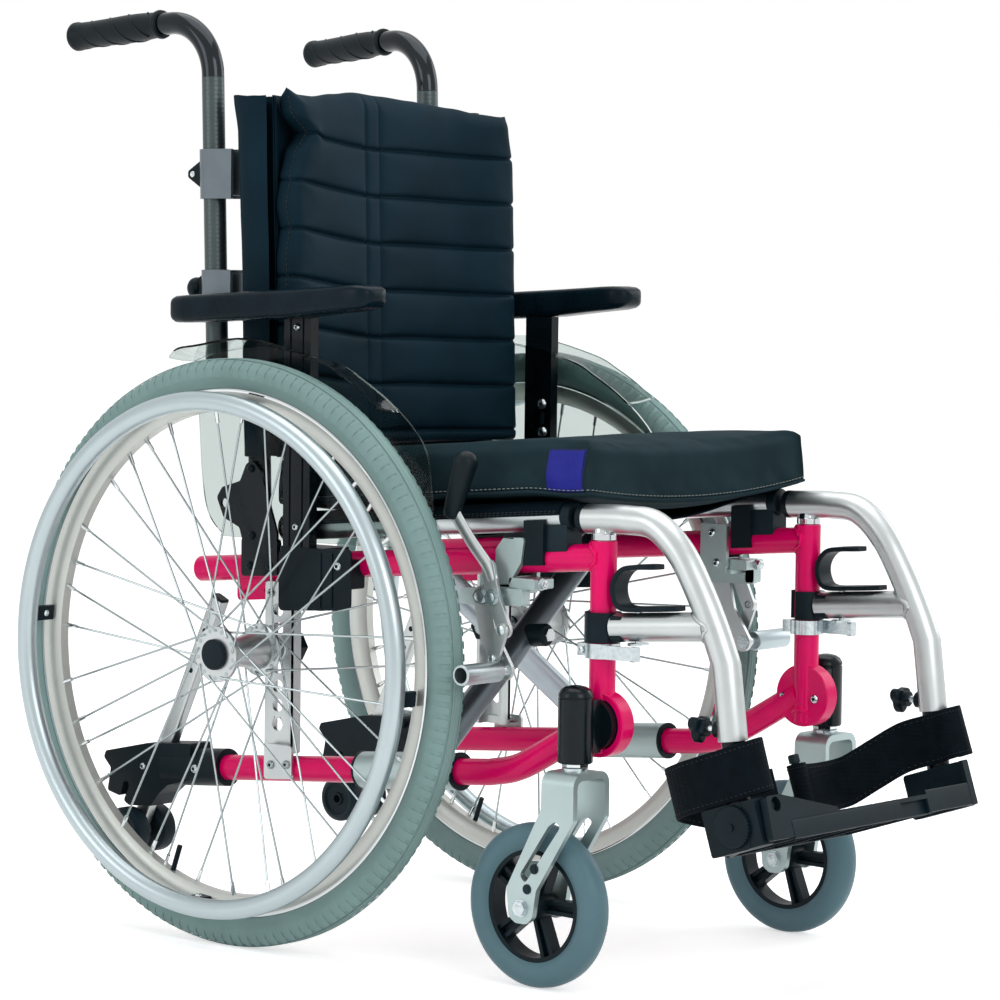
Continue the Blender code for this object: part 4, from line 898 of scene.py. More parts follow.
# %% [markdown]
# ## Brakes
# Pushing the lever forwards turns it on the upper bolt. Its lower end pushes the link, and
# the link swings the arm until the arm's tube presses into the tyre. Lever, link and arm lie
# in layers, one outside another, so that each passes its neighbour.

# %% Brake mount, lever, arm and link
ARM, LEVER = (-113.0, 349.0), (-130.5, 349.0)
RIVET_LEVER, RIVET_ARM = (-144.0, 320.0), (-134.0, 293.0)
casting = clipped([(-142.5, 361), (-104, 358), (-104, 398), (-142.5, 403)], (0, 367.9), (0, -1))
cheek = rounded([(-122, 362), (-122.5, 373.2), (-122.8, 392.3), (-131.5, 402.7), (-156, 404.1),
                 (-152.5, 381), (-142, 366), (-140, 361)], 3)
heads, recess_shade = screws(((-144, -131, 392), LEFT, 4.0), ((-144, -137, 363), LEFT, 4.0))
bolts = [rod((-190, *ARM), (-178, *ARM), 4, 20), rod((-195, *LEVER), (-178, *LEVER), 4, 20)]
bolts += screw((-168, -168.4, 362), (0, -1, 0), 5, 5, "bolt")[0]
bolts += screw((-186.9, *ARM), RIGHT, 7, 3.9, "bolt")[0]
bolts += screw((-191.4, *LEVER), RIGHT, 7, 3.4, "bolt")[0]
pair("brake_mount", "frame", {
    CAST: [
        plate(cheek, -178, -172.2), plate(casting, -177.7, -150),
        block((-178, -150), (-150, -104), (352, 358), 2),
        plate(rounded([(-160, 342), (-83, 339.5), (-83, 355), (-160, 358)], 4), -182, -174),
        block((-185.5, -174), (-160.5, -150), (343, 357.2), 2),
        block((-178, -150), (-168.6, -138.8), (357, 367), 2),
        block((-149, -144), (-148, -117), (357, 401), 3),
        block((-158, -146), (-146, -119), (354, 360)),
    ],
    ZINC: bolts + heads, BLACK: recess_shade,
})

arm_shape = strip([ARM, (-122, 312), (-141, 283)], 9.5)
pad_end = [(-250, 7.2), (-250, 8.9), (-249.3, 9.6), (-199, 9.6), (-198, 9), (-198, 0)]
pair("brake_arm", "brake_arm", {
    SATIN: [plate(arm_shape, -186.5, -182.4, holes=(circle(*ARM, 4.6),))],
    ANODISED: [lathe([(-202, 0), (-202, 7.2)] + pad_end, (0, -143, 283), steps=48)],
    ZINC: [rod((-200, -143, 283), (-184, -143, 283), 5, 20),
           rod((-182.6, -143, 283), (-180.8, -143, 283), 7, 6)],
})

lever_shape = strip([(-124, 376), LEVER, RIVET_LEVER], 7.5)
rod_path = smooth_path([(-189, -129, 364), (-190, -122, 379), (-194, -106, 400),
                        (-197, -88, 426)], 8)
GRIP_FOOT, GRIP_TOP = Vector((-197, -84.5, 420)), Vector((-198, -106, 481))
# The grip as (share of its length, radius): it swells towards the top, and its end is round.
egg = [(0, 5.5), (0.02, 7.2)] + [(0.05 + 0.775 * k / 8, 8 + 3.4 * k / 8) for k in range(9)]
egg += [(0.825 + 0.175 * math.sin(a), max(11.4 * math.cos(a), 0.4))
        for a in np.linspace(0.12, math.pi / 2, 12)]
grip = bar([GRIP_FOOT.lerp(GRIP_TOP, share) for share, _ in egg], [r for _, r in egg], 36)
pair("brake_lever", "brake_lever", {
    SATIN: [plate(lever_shape, -191, -187, holes=(circle(*LEVER, 4.6), circle(*RIVET_LEVER, 3.6))),
            bar(rod_path, 2.4, 20, 6.4, LEFT)],
    RUBBER: [grip],
})
pair("brake_link", "brake_link", {
    SATIN: [plate(strip([RIVET_LEVER, RIVET_ARM], 6.5), -195, -191.4)],
    ZINC: [rod((-196, *RIVET_LEVER), (-187.4, *RIVET_LEVER), 3, 20),
           lathe([(-197, 0), (-197, 3), (-196.2, 4.8), (-194.6, 4.8), (-194.6, 0)],
                 (0, *RIVET_LEVER), steps=28),
           lathe([(-197, 0), (-197, 3), (-196.2, 4.4), (-187, 4.4), (-187, 0)],
                 (0, *RIVET_ARM), steps=28)],
})

# %% [markdown]
# ## Leg rests
# A bent tube hooks on the frame's front tube: its pin drops in the tube's bore and a clip
# half wraps the tube lower down. A spring lever runs through to a pawl that holds the
# flange on the frame. The leg extension slides in the bent tube's lower end.

# %% Hanger, release lever and extension knob
HANGER = [(X, -210, 423.5), (X, -236, 424.7), (X, -262, 425), (X, -292, 421.5), (X, -320, 399),
          (X, -342, 365), (X, -360, 330), (X, -371.5, 303), (X, -380, 237)]
HANGER = [Vector(p) for p in HANGER]
SHIN = (HANGER[-1] - HANGER[-2]).normalized()
RELEASE_Y = -274.5
path = [HANGER[0]] + smooth_path(HANGER[1:8], 8)[1:] + [HANGER[-1]]
mouth = sector(X, FRONT_Y, 12.9, 16.8, 77, 369, 36)
knob_at = HANGER[-1] - SHIN * 9
pair("hanger", "hanger", {
    SATIN: [
        pipe(path, 13.2, 11.1, 32),
        bar([(X, -249, 328), (X, -352, 335.5)], 13, 32),
        weld((X, -357.5, 335.8), (0, 1, -0.07), 13, (0, 0.457, 0.889), 13.2, 1.8),
    ],
    CHROME: [lathe([(405.4, 0), (405.4, 10.6), (406, 11.4), (411, 11.4), (412, 10.6), (418, 10)],
                   (X, FRONT_Y, 0), "z", 40),
             rod((X, FRONT_Y, 350), (X, FRONT_Y, 410), 7.9, 28)],
    BLACK: [
        plate(mouth, 314, 341, "z"),
        block((X - 11, X + 11), (-262, -250), (316, 339), 3, "y"),
        bar([(X, -208.6, 423.4), (X, -210, 423.5), (X, -216, 423.8)], [10, 13.3, 13.3], 32),
        bar([knob_at + Vector((0, 11, 0)), knob_at + Vector((0, 17, 0))], 7.5, 24),
    ],
})

line = smooth_path([(X, -321, 349.5), (X, -290, 347.2), (X, -262, 346.2), (X, -253, 355),
                    (X, -252.4, 369), (X, -262, 381), (X, -279, 384), (X, -297, 385)], 6)
rings = []
for i, (p, along) in enumerate(zip(line, ways(line))):
    up = Vector((0, -along.z, along.y)).normalized()
    wide = 11 * min(1.0, 0.62 + 0.16 * min(i, len(line) - 1 - i))
    rings.append([p + Vector((a * wide, 0, 0)) + up * b * 2.3
                  for a, b in rectangle((-1, 1), (-1, 1), 0.25)])
pawl = sector(X, RELEASE_Y - 2.5, 0.1, 12, 0, 180, 20)
pair("release_lever", "release_lever", {
    BLACK: [loft(rings)],
    ZINC: [rod((X, RELEASE_Y, 313.6), (X, RELEASE_Y, 348), 3, 20), plate(pawl, 313.4, 315.4, "z")],
})


def past(point, y):
    """A point further back by some millimetres."""
    return point + Vector((0, y, 0))


centre = past(knob_at, 31)
lobes = []
for k in range(72):
    t = 2 * math.pi * k / 72
    r = 10.9 + 2.7 * math.cos(3 * (t - 0.5))
    lobes.append((centre.x + r * math.cos(t), centre.z + r * math.sin(t)))
small = [(centre.x + (a - centre.x) * 0.86, centre.z + (b - centre.z) * 0.86) for a, b in lobes]
knob = loft([[(a, centre.y + y, b) for a, b in outline]
             for y, outline in ((0.2, small), (1.8, lobes), (8.2, lobes), (10, small))])
pair("extension_knob", "extension_knob", {
    BLACK: [knob, bar([past(centre, -5), past(centre, 1)], 7.4, 28)],
    ZINC: [rod(past(knob_at, 11.4), past(knob_at, 40.6), 3.4, 20),
           rod(past(centre, 9.6), past(centre, 10.6), 4.4, 24)],
})

# %% [markdown]
# ## Armrests
# A moulded pad on an extruded post. The post slides in the frame's socket. The clear guard
# keeps clothes off the wheel, and its edge curls out over the tyre.

# %% Pad, post and clear guard
PAD_X = -195.4
PAD_RISE = 0.048  # the pad's top rises towards the front
rings = []
for y, half, low, high in (
    (7.4, 5, 610.6, 615.4), (8.4, 10.5, 607.4, 618.8), (11, 15, 604.8, 621.6),
    (16, 18.2, 602.6, 623.6), (25, 20.2, 601.2, 624.9), (40, 20.6, 600.4, 625),
    (60, 20.6, 599.4, 624.6), (104, 20.6, 596.6, 624), (150, 20.6, 596.2, 623.7),
    (240, 20.6, 596.2, 623), (254, 20, 596.8, 622.6), (259.4, 17.4, 599, 621),
    (261, 13, 602, 618.4),
):
    low, high = (edge + PAD_RISE * (150 - y) for edge in (low, high))
    middle, tall = (low + high) / 2, (high - low) / 2
    corners = rectangle((-half, half), (-tall, tall), min(half, tall) * 0.62, 5)
    rings.append([(PAD_X + a, y, middle + b) for a, b in corners])
for pad in pair("armrest_pad", "armrest", {PAD_SKIN: [loft(rings)]}, bevel=0):
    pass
section = rectangle((-187.5, -176.5), (99, 133))
for y in (124, 108):  # two grooves down its outer face
    section += [(-187.5, y + 1.4), (-186.2, y + 1), (-186.2, y - 1), (-187.5, y - 1.4)]
heads, recess_shade = screws(((-187.5, 116, 590), RIGHT, 3.6), ((-187.5, 116, 400), RIGHT, 3.6),
                     ((-173.8, 108, 509.8), LEFT, 5.4), ((-173.8, 107, 481.3), LEFT, 5.4))
guard_slot = plate(strip([(107.5, 491), (107.5, 499)], 2.2), -173.9, -173.2)
pair("armrest_post", "armrest", {
    BLACK_COAT: [plate(section, 325.4, 598.6, "z")], BLACK: recess_shade + [guard_slot], ZINC: heads,
}, bevel=0.6)

# The guard's curled edge: angle round the axle, and its inner and outer radius.
GUARD_RADII = ((69, 295, 299), (71.5, 295, 303), (76, 294, 300), (90, 292, 299), (107, 288, 294),
               (114, 285.4, 292), (119.6, 284, 290.7), (124, 283, 288.6))
GUARD_FACES = (-176.2, -173.8)
CURL_THICK = 2.2


def around_wheel(angle, radius):
    a = math.radians(angle)
    return AXLE[0] + radius * math.cos(a), AXLE[1] + radius * math.sin(a)


inner = smooth_path([around_wheel(a, r) for a, r, _ in GUARD_RADII], 5)
outer = smooth_path([around_wheel(a, r) for a, _, r in GUARD_RADII], 5)
curl = []
for p, q in zip(inner, outer):
    lift = (q - p) * 0.25
    top = [(-174.4, *p), (-192, p.x + lift.x, p.y + lift.y), (-210, *q)]
    curl.append(top + [(x, y, z - CURL_THICK) for x, y, z in reversed(top)])
lower = smooth_path([
    (-15.3, 502.8), (-29.3, 488.4), (-37.6, 472.9), (-41.3, 453.8), (-44, 424), (-43, 402),
    (-34, 388), (0, 386), (205, 385), (225, 389), (243, 408), (251, 443), (256, 503),
    (260, 548)], 5)
panel = [tuple(p) for p in inner + lower]
pair("side_guard", "armrest", {CLEAR: [plate(panel, *GUARD_FACES), loft(curl)]}, bevel=0.3)

# %% [markdown]
# ## Back canes and push handles
# The cane stands in a bracket on the rail. Two clamps hold the push handle's tube behind it,
# so that the handle's height can be set by loosening the round knobs.

# %% Canes, clamps, knobs and push handles
CLAMPS = ((712, 760), (607, 643))
KNOB_Z = 625
PUSH_R, CANE_TUBE_R = 11, 11
cane_line = [(X, cane_y(z), z) for z in (371.5, 806)]
foot_plate = rounded([(148, 351), (195, 348), (195, 386), (148, 386)], 4)
wing = rounded([(148.6, 383), (148.6, 392), (170.9, 451.5), (181.8, 461), (189.7, 456.5),
                (197.5, 440), (221.4, 433), (228.3, 422.8), (219, 403.5), (198, 395),
                (194, 383)], 5)
# The screws' black hexagons are painted shade for the inside of each recess.
black_heads, cane_recess_shade = screws(*(((-179, y, z), RIGHT, 4.0) for y, z in
                                 ((158, 360.4), (183.7, 359), (181, 388), (182.7, 452.5))))
spacers = [rod((-178, y, z), (-166, y, z), 5, 20) for y, z in ((181, 400), (182.7, 452.5))]
bands, tails, heads = [], [], []
for low_z, high_z in CLAMPS:
    mid = (low_z + high_z) / 2
    tube_y = push_y(mid)
    bands.append(pipe([Vector((X, push_y(z), z)) for z in (low_z, high_z)], 14.2, 11.5, 44))
    bands.append(block((X - 5, X + 5), (cane_y(mid) + 9, tube_y - 11.7),
                       (low_z + 3, high_z - 3), 2))
    for a, b in ((X - 14.2, X - 10.6), (X + 10.6, X + 14.2)):
        bands.append(block((a, b), (217, tube_y), (low_z, high_z), 1.5))
    tail = [(tube_y + y, mid + z) for y, z in ((11, -15), (31, -3), (31, 3), (11, 15))]
    tails.append(plate(rounded(tail, 3), X - 5, X + 5))
    heads += screw((X - 5, tube_y + 24, mid), RIGHT, 3.2, 2.2)[0]
pair("back_cane", "frame", {
    BLACK_COAT: [pipe(cane_line, CANE_TUBE_R, 9.4, 32), plate(foot_plate, -179.1, -172.8),
                 plate(wing, -179, -176, holes=(circle(218.2, 417.7, 4.6),)),
                 block((-178.6, -150), (172, 194), (372, 383.2), 2)] + spacers,
    GUNMETAL: bands, BLACK: tails + cane_recess_shade + black_heads, ZINC: heads,
})
ky = push_y(KNOB_Z)
knob = [(ky + along, r) for along, r in (
    (19, 0), (19, 6.4), (20, 7.6), (21.5, 9.2), (24, 10.3), (27, 10.5), (30, 9.6), (32.4, 7.4),
    (33.7, 4), (34, 0))]
pair("handle_knob", "handle_knob", {
    BLACK: [lathe(knob, (X, 0, KNOB_Z), "y", 48)],
    ZINC: [rod((X, ky + 11.6, KNOB_Z), (X, ky + 24, KNOB_Z), 3, 20)],
})

HANDLE_BEND = 54  # radius of the bend at the push handle's top
GRIP_FALL = 0.0732  # the grip falls a little towards its end
# The grip's outline as (distance behind the tube's middle, radius).
GRIP = [(68, 12.4), (68.6, 13.8), (71, 14.4), (72.5, 14.2), (74, 12.9), (80, 12.8), (95, 13.7),
        (115, 14.1), (140, 13.5), (165, 13.2), (183, 13.4), (185, 14.4), (189, 14.4),
        (190.6, 13.4), (191, 10)]
RIDGES, RIDGE_TURNS = 3, 1.25


def push_handle(name, side, yaw):
    """The bent tube, its ribbed lower part, and a grip with a flange, bulb and spiral ridges."""
    top = Vector((side * FRAME_X, push_y(830), 830))
    back = Vector((side * math.sin(math.radians(yaw)), math.cos(math.radians(yaw)), 0))
    line = [Vector((side * FRAME_X, push_y(z), z)) for z in (521, 640, 790)] + [top]
    for k in range(1, 19):
        a = math.radians(5 * k)
        line.append(top + back * HANDLE_BEND * (1 - math.cos(a))
                    + Vector((0, 0, HANDLE_BEND * math.sin(a))))
    line.append(top + back * 76 + Vector((0, 0, 53.2)))

    def on_grip(d):
        return top + back * d + Vector((0, 0, 53.4 - (d - 68) * GRIP_FALL))

    grip = bar([on_grip(d) for d, _ in GRIP], [r for _, r in GRIP], 40)
    ridges = []
    axis_way = (on_grip(100) - on_grip(70)).normalized()
    for start in range(RIDGES):
        points = []
        for k in range(60):
            d = 82 + 98 * k / 59
            r = 13.0 + 1.0 * math.exp(-(((d - 112) / 26) ** 2))
            a = 2 * math.pi * (start / RIDGES + RIDGE_TURNS * k / 59)
            ring = ring_at(on_grip(d), axis_way, r, 4)
            u, v = (ring[0] - on_grip(d)), (ring[1] - on_grip(d))
            points.append(on_grip(d) + u * math.cos(a) + v * math.sin(a))
        ridges.append(bar(points, 1.0, 6))
    end_cap = [line[0] + Vector((0, 0, z)) for z in (-2, 3)]
    join(name, name, {
        DARK_CHROME: [bar(line[3:], PUSH_R, 36)], RIBBED: [bar(line[:4], PUSH_R, 36)],
        RUBBER: [grip] + ridges, BLACK: [bar(end_cap, 11.4, 28)],
    }, (name,), bevel=0.3)


RIBBED = finish("ribbed_tube", (0.065, 0.083, 0.085), 0.36, metal=0.8, spread=0.05, patch=20)
tree = RIBBED.node_tree
feed(tree, tree.nodes["Principled BSDF"], {"Normal": bump(tree, waves(tree, "Z", 2.2), 0.06, 1.0)})
push_handle("push_handle_right", -1, 0.0)
push_handle("push_handle_left", 1, 9.0)

# %% [markdown]
# ## Foot end
# The footplate is one moulding. It turns up on a pin in the right leg rest's hinge block,
# and its free end rests on the block under the left leg. Webbing straps stop the heels.

# %% Leg extensions and footplate
TOE_UP = math.radians(18.0)
PLATE = Vector((0, -376, 135))
FOOT = Matrix.Translation(PLATE) @ Matrix.Rotation(-TOE_UP, 4, "X")
FLIP_X, FLIP_N = 162.0, 33.0


def foot(shells):
    """Shells made in the plate's own frame, with (x, -forward, up), moved to their place."""
    return [moved(s, FOOT) for s in shells]


def slab(x, f, n, soft=0.0, axis="z"):
    return block(x, (-f[1], -f[0]), n, soft, axis)


def flat_shape(points, n, soft=0.0):
    points = [(x, -f) for x, f in points]
    return plate(rounded(points, soft) if soft else points, n[0], n[1], "z")


def leg_tube(side):
    """The tube that slides in the leg rest, and black discs down its front that are painted shade
    for its holes.
    """
    shift = Vector((0 if side < 0 else 2 * FRAME_X, 0, 0))
    start, end = (HANGER[-2] + SHIN * 6 + shift, HANGER[-1] + SHIN * 60 + shift)
    holes = [start + SHIN * d for d in (78, 98, 116)]
    # Each hole is a black disc on the tube: painted shade for the hole.
    return ([bar([start, end], 10.7, 32)],
            [rod(past(p, 9.9), past(p, 10.9), 2.2, 16) for p in holes])


tube, holes = leg_tube(-1)
disc = [(-187, 0), (-187, 17.4), (-186, 18.4), (-181, 19), (-180, 19), (-180, 0)]
teeth = [rod((-186.4, *p), (-181, *p), 0.9, 6) for p in circle(-30, 22, 18.6, 36)]
hook = [(-182.6, 40), (-162, 40), (-162, 50), (-166, 57), (-182.6, 57)]
join("leg_extension_right", "extension_right", {
    BLACK_COAT: tube,
    BLACK: foot([
        slab((-183, -149), (0, 44), (0, 42), 3, "x"),
        flat_shape(hook, (0.5, 41.5), 1.5),
        lathe(disc, (0, -30, 22), steps=64),
        rod((-FLIP_X, -46, FLIP_N), (-FLIP_X, -57.4, FLIP_N), 8, 32),
        rod((-FLIP_X, -50, FLIP_N), (-FLIP_X, -62, FLIP_N), 3, 20),
        rod((-188.5, -30, 22), (-186.8, -30, 22), 3.4, 24),
    ] + teeth) + holes,
}, ("leg_extension_right",))
tube, holes = leg_tube(1)
join("leg_extension_left", "extension_left", {
    BLACK_COAT: tube,
    BLACK: foot([slab((143, 156), (-5, 60), (0, 43), 4, "x"),
                 slab((150, 170), (14, 47), (0.4, 42), 3, "x"),
                 rod((142.4, -30, 22), (171, -30, 22), 9, 28)]) + holes,
    ZINC: foot([rod((170, -30, 22), (173, -30, 22), 4, 6)]),
}, ("leg_extension_left",))

ribs = [slab((x, x + 3), (-41, 61.5), (0.7, 16)) for x in (-90, -33, 24.6)]
outline = [(-146, 66), (-146, 0), (-102, -43), (85, -43), (85, 61.5), (142, 61.5), (142, 66)]
grips = []
for row, f in enumerate(range(-34, 58, 8)):
    for x in range(-132, 78, 14):
        at = x + (7 if row % 2 else 0)
        if at < -102 - f * 0.9 and f < 0:
            continue
        grips.append(slab((at, at + 8), (f, f + 1.6), (17.6, 18.8)))
ear = rounded([(-178, 2), (-72, 2), (-72, 21), (-154, 41), (-174, 41)], 4)
hole = circle(-FLIP_X, FLIP_N, 6.6)
plate_shells = [
    flat_shape(outline, (14, 18), 2),
    flat_shape([(-146.1, 0.3), (-101.9, -43.1), (-99, -40.2), (-143.2, 3.2)], (0.6, 17.8)),
    slab((-145.8, 23.5), (62.2, 66.2), (0, 17), 1.5, "x"),
    slab((21, 70.5), (57.4, 61.2), (0.2, 16.8), 1, "x"),
    slab((20.4, 24.2), (57.2, 66), (0.4, 16.6)),
    slab((67.4, 71.2), (57, 65.8), (0.6, 16.4)),
    slab((68.2, 141.8), (61.7, 66.1), (0.8, 22), 1.5, "x"),
    slab((-103.6, 84.6), (-43.2, -39.2), (0.4, 17.6), 1, "x"),
    slab((-146.2, -142.2), (1.2, 65.6), (0.2, 17.4), 1, "y"),
    slab((81.2, 85.2), (-42.6, 61.3), (0.3, 17.2), 1, "y"),
    slab((139.5, 148.5), (61.6, 66.3), (0.5, 43), 1.5, "y"),
    plate(ear, -65.9, -58.5, "y", (hole,)),
] + ribs + grips
join("footplate", "footplate", {
    BLACK: foot(plate_shells),
    GREY_BLACK: foot([rod((0, 20, 12), (0, 20, 78), 3.6, 20),
                      bar([(0, 20, 73), (0, 20, 80), (0, 20, 81)], [5.2, 5.2, 4], 24)]),
}, ("footplate",))

# %% [markdown]
# The heel straps stand on edge behind the heels. Each is a flat woven band with a row of
# stitches near its two edges. Each turns round its leg's tube, and the left one round the
# footplate's peg too.

# %% Heel straps
RIGHT_STRAP = [(-32, -24, 25), (-64, -33, 25), (-98, -46, 27), (-126, -58, 37), (-150, -52, 42),
               (-168, -26, 43), (-179, 6, 43), (-180, 34, 43.5), (-176, 56, 44.5),
               (-160, 63, 46), (-147, 52, 46), (-145.5, 20, 46)]
LEFT_STRAP = [(8, -15, 25), (-3, -13, 25), (-7, -21, 25), (1, -28, 25), (32, -33, 25),
              (66, -41, 25), (97, -45, 26), (108, -38, 28), (124, -20, 36), (140, 6, 45),
              (146.5, 36, 46), (149, 52, 47), (160, 61, 47.5), (173, 56, 48), (178, 40, 48)]


STRAP_HIGH, STRAP_THICK = 47.0, 2.3


def strap_shells(points):
    """The band and its stitches, along the line of the band's lower edge."""
    corners = rectangle((-STRAP_THICK / 2, STRAP_THICK / 2), (0, STRAP_HIGH), 1.0, 3)
    normals = [Vector((-way.y, way.x, 0)).normalized() for way in ways(points)]
    rings = []
    for i, (p, side) in enumerate(zip(points, normals)):
        wave = 0.7 * math.sin(i * 0.31)
        rings.append([p + side * (a + wave * (b / STRAP_HIGH - 0.5)) + Vector((0, 0, b))
                      for a, b in corners])
    stitches = []
    for h in (4.0, STRAP_HIGH - 4.0):
        up = Vector((0, 0, h))
        for i in range(2, len(points) - 3, 2):
            wave = 0.7 * math.sin(i * 0.31) * (h / STRAP_HIGH - 0.5)
            for face in (-1, 1):
                off = face * (STRAP_THICK / 2 + 0.05) + wave
                a = points[i] + normals[i] * off + up
                b = points[i] * 0.3 + points[i + 1] * 0.7 + normals[i + 1] * off
                stitches.append(rod(a, b + up, 0.42, 6))
    return foot([loft(rings)]), foot(stitches)


for name, body, line in (("heel_strap_right", "extension_right", RIGHT_STRAP),
                         ("heel_strap_left", "footplate", LEFT_STRAP)):
    band, stitches = strap_shells(smooth_path([(x, -f, n) for x, f, n in line], 10))
    strap = join(name, body, {WEBBING: band, THREAD: stitches}, (name,), bevel=0)

# %% [markdown]
# ## Folding cross
# Brace A runs from the right rail up to the left seat tube, and brace B mirrors it behind.
# Each has a sleeve that turns on its rail and a seat tube welded to its top. A bolt with a
# black bush joins them where they cross.

# %% Braces and seat tubes
PIVOT = Vector((X, -9, lower_z(-9)))
ALONG = Vector((0, math.cos(TILT), -math.sin(TILT)))
SQUARE = Vector((0, math.sin(TILT), math.cos(TILT)))
SPAN = 2 * FRAME_X
RISE = (seat_z(-9) - lower_z(-9)) * math.cos(TILT)


def in_brace(x, along, height):
    """A point by its distance from the chair's middle, along the rails and square to them."""
    return PIVOT + Vector((x + FRAME_X, 0, 0)) + ALONG * along + SQUARE * height


def brace(name, side, colour):
    foot_x, head_x = side * FRAME_X, -side * FRAME_X
    near, far = (-26.5, -0.3) if side < 0 else (0.3, 26.5)
    lean = Vector((head_x - foot_x, RISE)).normalized()
    middle, long = (near + far) / 2, math.hypot(SPAN, RISE)
    ends = [in_brace(foot_x + lean.x * t, middle, lean.y * t) for t in (14, long - 8)]
    flat_way = SQUARE.cross(ALONG) * lean.y + SQUARE * lean.x
    oval = loft([ring_at(p, ends[1] - ends[0], 13, 40, (far - near) / 2, flat_way) for p in ends])
    sleeve = pipe([in_brace(foot_x, t, 0) for t in (-60, 60)], 17.5, 13.1, 44)
    front, back = (Vector((head_x, y, seat_z(y))) for y in (-196, 150))
    up_brace = (ends[1] - ends[0]).normalized()
    parts = {
        colour: [oval],
        CAST: [sleeve, weld(in_brace(foot_x, middle, 0), up_brace, 13.2, ALONG, 17.6, 1.9),
               weld(in_brace(head_x, middle, RISE), -up_brace, 13.2, ALONG, 12.6, 1.9)],
        SEAT_TUBE: [bar([front, back], TUBE_R, 36)],
        BLACK: [bar([front - ALONG * 7, front - ALONG * 6, front + ALONG * 4],
                    [11, 13.2, 13.2], 36),
                bar([back - ALONG * 2, back + ALONG * 2.4], 13, 32)]
        + [pipe([in_brace(foot_x, t, 0) for t in ts], 17.9, 13.0, 40)
           for ts in ((-61.5, -58.5), (58.5, 61.5))],
    }
    centre = in_brace(0, 0, RISE / 2)
    if side < 0:
        parts[BLACK].append(bar([centre - ALONG * d for d in (20, 41, 43)], [11, 11, 9.4], 36))
        parts[CHROME] = [rod(centre - ALONG * 40, centre - ALONG * 47, 7, 6),
                         rod(centre - ALONG * 30, centre + ALONG * 30, 4, 20)]
    else:
        parts[CHROME] = [rod(centre + ALONG * 26, centre + ALONG * 29, 8, 28)]
    join(name, name, parts, (name,))


brace("brace_a", -1, GUNMETAL)
brace("brace_b", 1, BRACE_SILVER)

# %% [markdown]
# ## Padded parts
# A cushion is a fabric skin pushed out by its filling and held in by its seams. Each skin
# starts a little small, and a short cloth simulation blows it up. The seams are held still,
# so the fabric swells and wrinkles between them. No point may move more than a cap.


# %% Blow up a skin between its seams
def skin_object(name, verts, faces):
    bm = bmesh.new()
    made = [bm.verts.new(Vector(v) * MM) for v in verts]
    for face in faces:
        ring = [made[i] for i in dict.fromkeys(face)]
        if len(ring) > 2:
            bm.faces.new(ring)
    bmesh.ops.recalc_face_normals(bm, faces=bm.faces)
    mesh = bpy.data.meshes.new(name)
    bm.to_mesh(mesh)
    bm.free()
    mesh.shade_smooth()
    obj = bpy.data.objects.new(name, mesh)
    bpy.context.scene.collection.objects.link(obj)
    return obj


CLOTH_FRAMES = 20


def puff(obj, held, pressure, cap, loose=0.0):
    """Runs the cloth under pressure, and moves each point by what it did, up to a cap."""
    rest = [v.co.copy() for v in obj.data.vertices]
    group = obj.vertex_groups.new(name="held")
    group.add(sorted(held), 1.0, "REPLACE")
    cloth = obj.modifiers.new("cloth", "CLOTH")
    cloth.settings.use_pressure = True
    cloth.settings.uniform_pressure_force = pressure
    cloth.settings.vertex_group_mass = "held"
    cloth.settings.shrink_min = -loose
    cloth.settings.effector_weights.gravity = 0
    cloth.settings.quality = 6
    cloth.settings.bending_stiffness = 0.25
    cloth.point_cache.frame_start, cloth.point_cache.frame_end = 1, CLOTH_FRAMES
    scene = bpy.context.scene
    for f in range(1, CLOTH_FRAMES + 1):
        scene.frame_set(f)
    graph = bpy.context.evaluated_depsgraph_get()
    after = [v.co.copy() for v in obj.evaluated_get(graph).data.vertices]
    obj.modifiers.remove(cloth)
    scene.frame_set(1)
    moves = [b - a for a, b in zip(rest, after)]
    print(obj.name, "largest move, mm:", round(max(m.length for m in moves) / MM, 1))
    return [a + m * min(1.0, cap * MM / max(m.length, 1e-9)) for a, m in zip(rest, moves)]


def settle(obj, points, place, material, name_of, body):
    """Puts the blown-up skin in the chair, subdivides it once and applies everything."""
    for v, p in zip(obj.data.vertices, points):
        v.co = place(p / MM) * MM
    smooth = obj.modifiers.new("smooth", "SUBSURF")
    smooth.levels = smooth.render_levels = 1
    graph = bpy.context.evaluated_depsgraph_get()
    mesh = bpy.data.meshes.new_from_object(obj.evaluated_get(graph))
    obj.modifiers.clear()
    obj.vertex_groups.clear()
    obj.data = mesh
    mesh.materials.clear()
    mesh.materials.append(material)
    mesh.shade_smooth()
    if body:
        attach(obj, body)
    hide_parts(name_of)


def stitched(name, body, lines, outward, length=3.4, gap=1.6, radius=0.45, lift=0.5, colour=None):
    """Thread along lines of points in millimetres: short rods with gaps between them."""
    shells = []
    for line in lines:
        line = [Vector(p) for p in line]
        spans = [(b - a).length for a, b in zip(line, line[1:])]
        total, at = sum(spans), 0.0

        def point(d):
            for a, b, span in zip(line, line[1:], spans):
                if d <= span:
                    return a + (b - a) * (d / max(span, 1e-6))
                d -= span
            return line[-1]

        while at + length < total:
            a, b = point(at), point(at + length)
            middle = (a + b) / 2
            out = Vector(outward(middle)) * lift
            shells.append(bar([a - out * 0.6, middle + out, b - out * 0.6], radius, 6))
            at += length + gap
    return join(name, body, {colour or THREAD: shells}, (), bevel=0)


def fold(obj):
    """Gives the piece its own copy of its mesh."""
    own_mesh(obj)


def lift(obj):
    """Bakes the piece's place into its mesh."""
    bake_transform(obj)


# %% [markdown]
# ## Back cushion
# Horizontal sewn channels, a sewn strip up its near third, and a stitched seam round its
# side. Its near edge rides up a little and its top edge waves, as a used cushion's does.

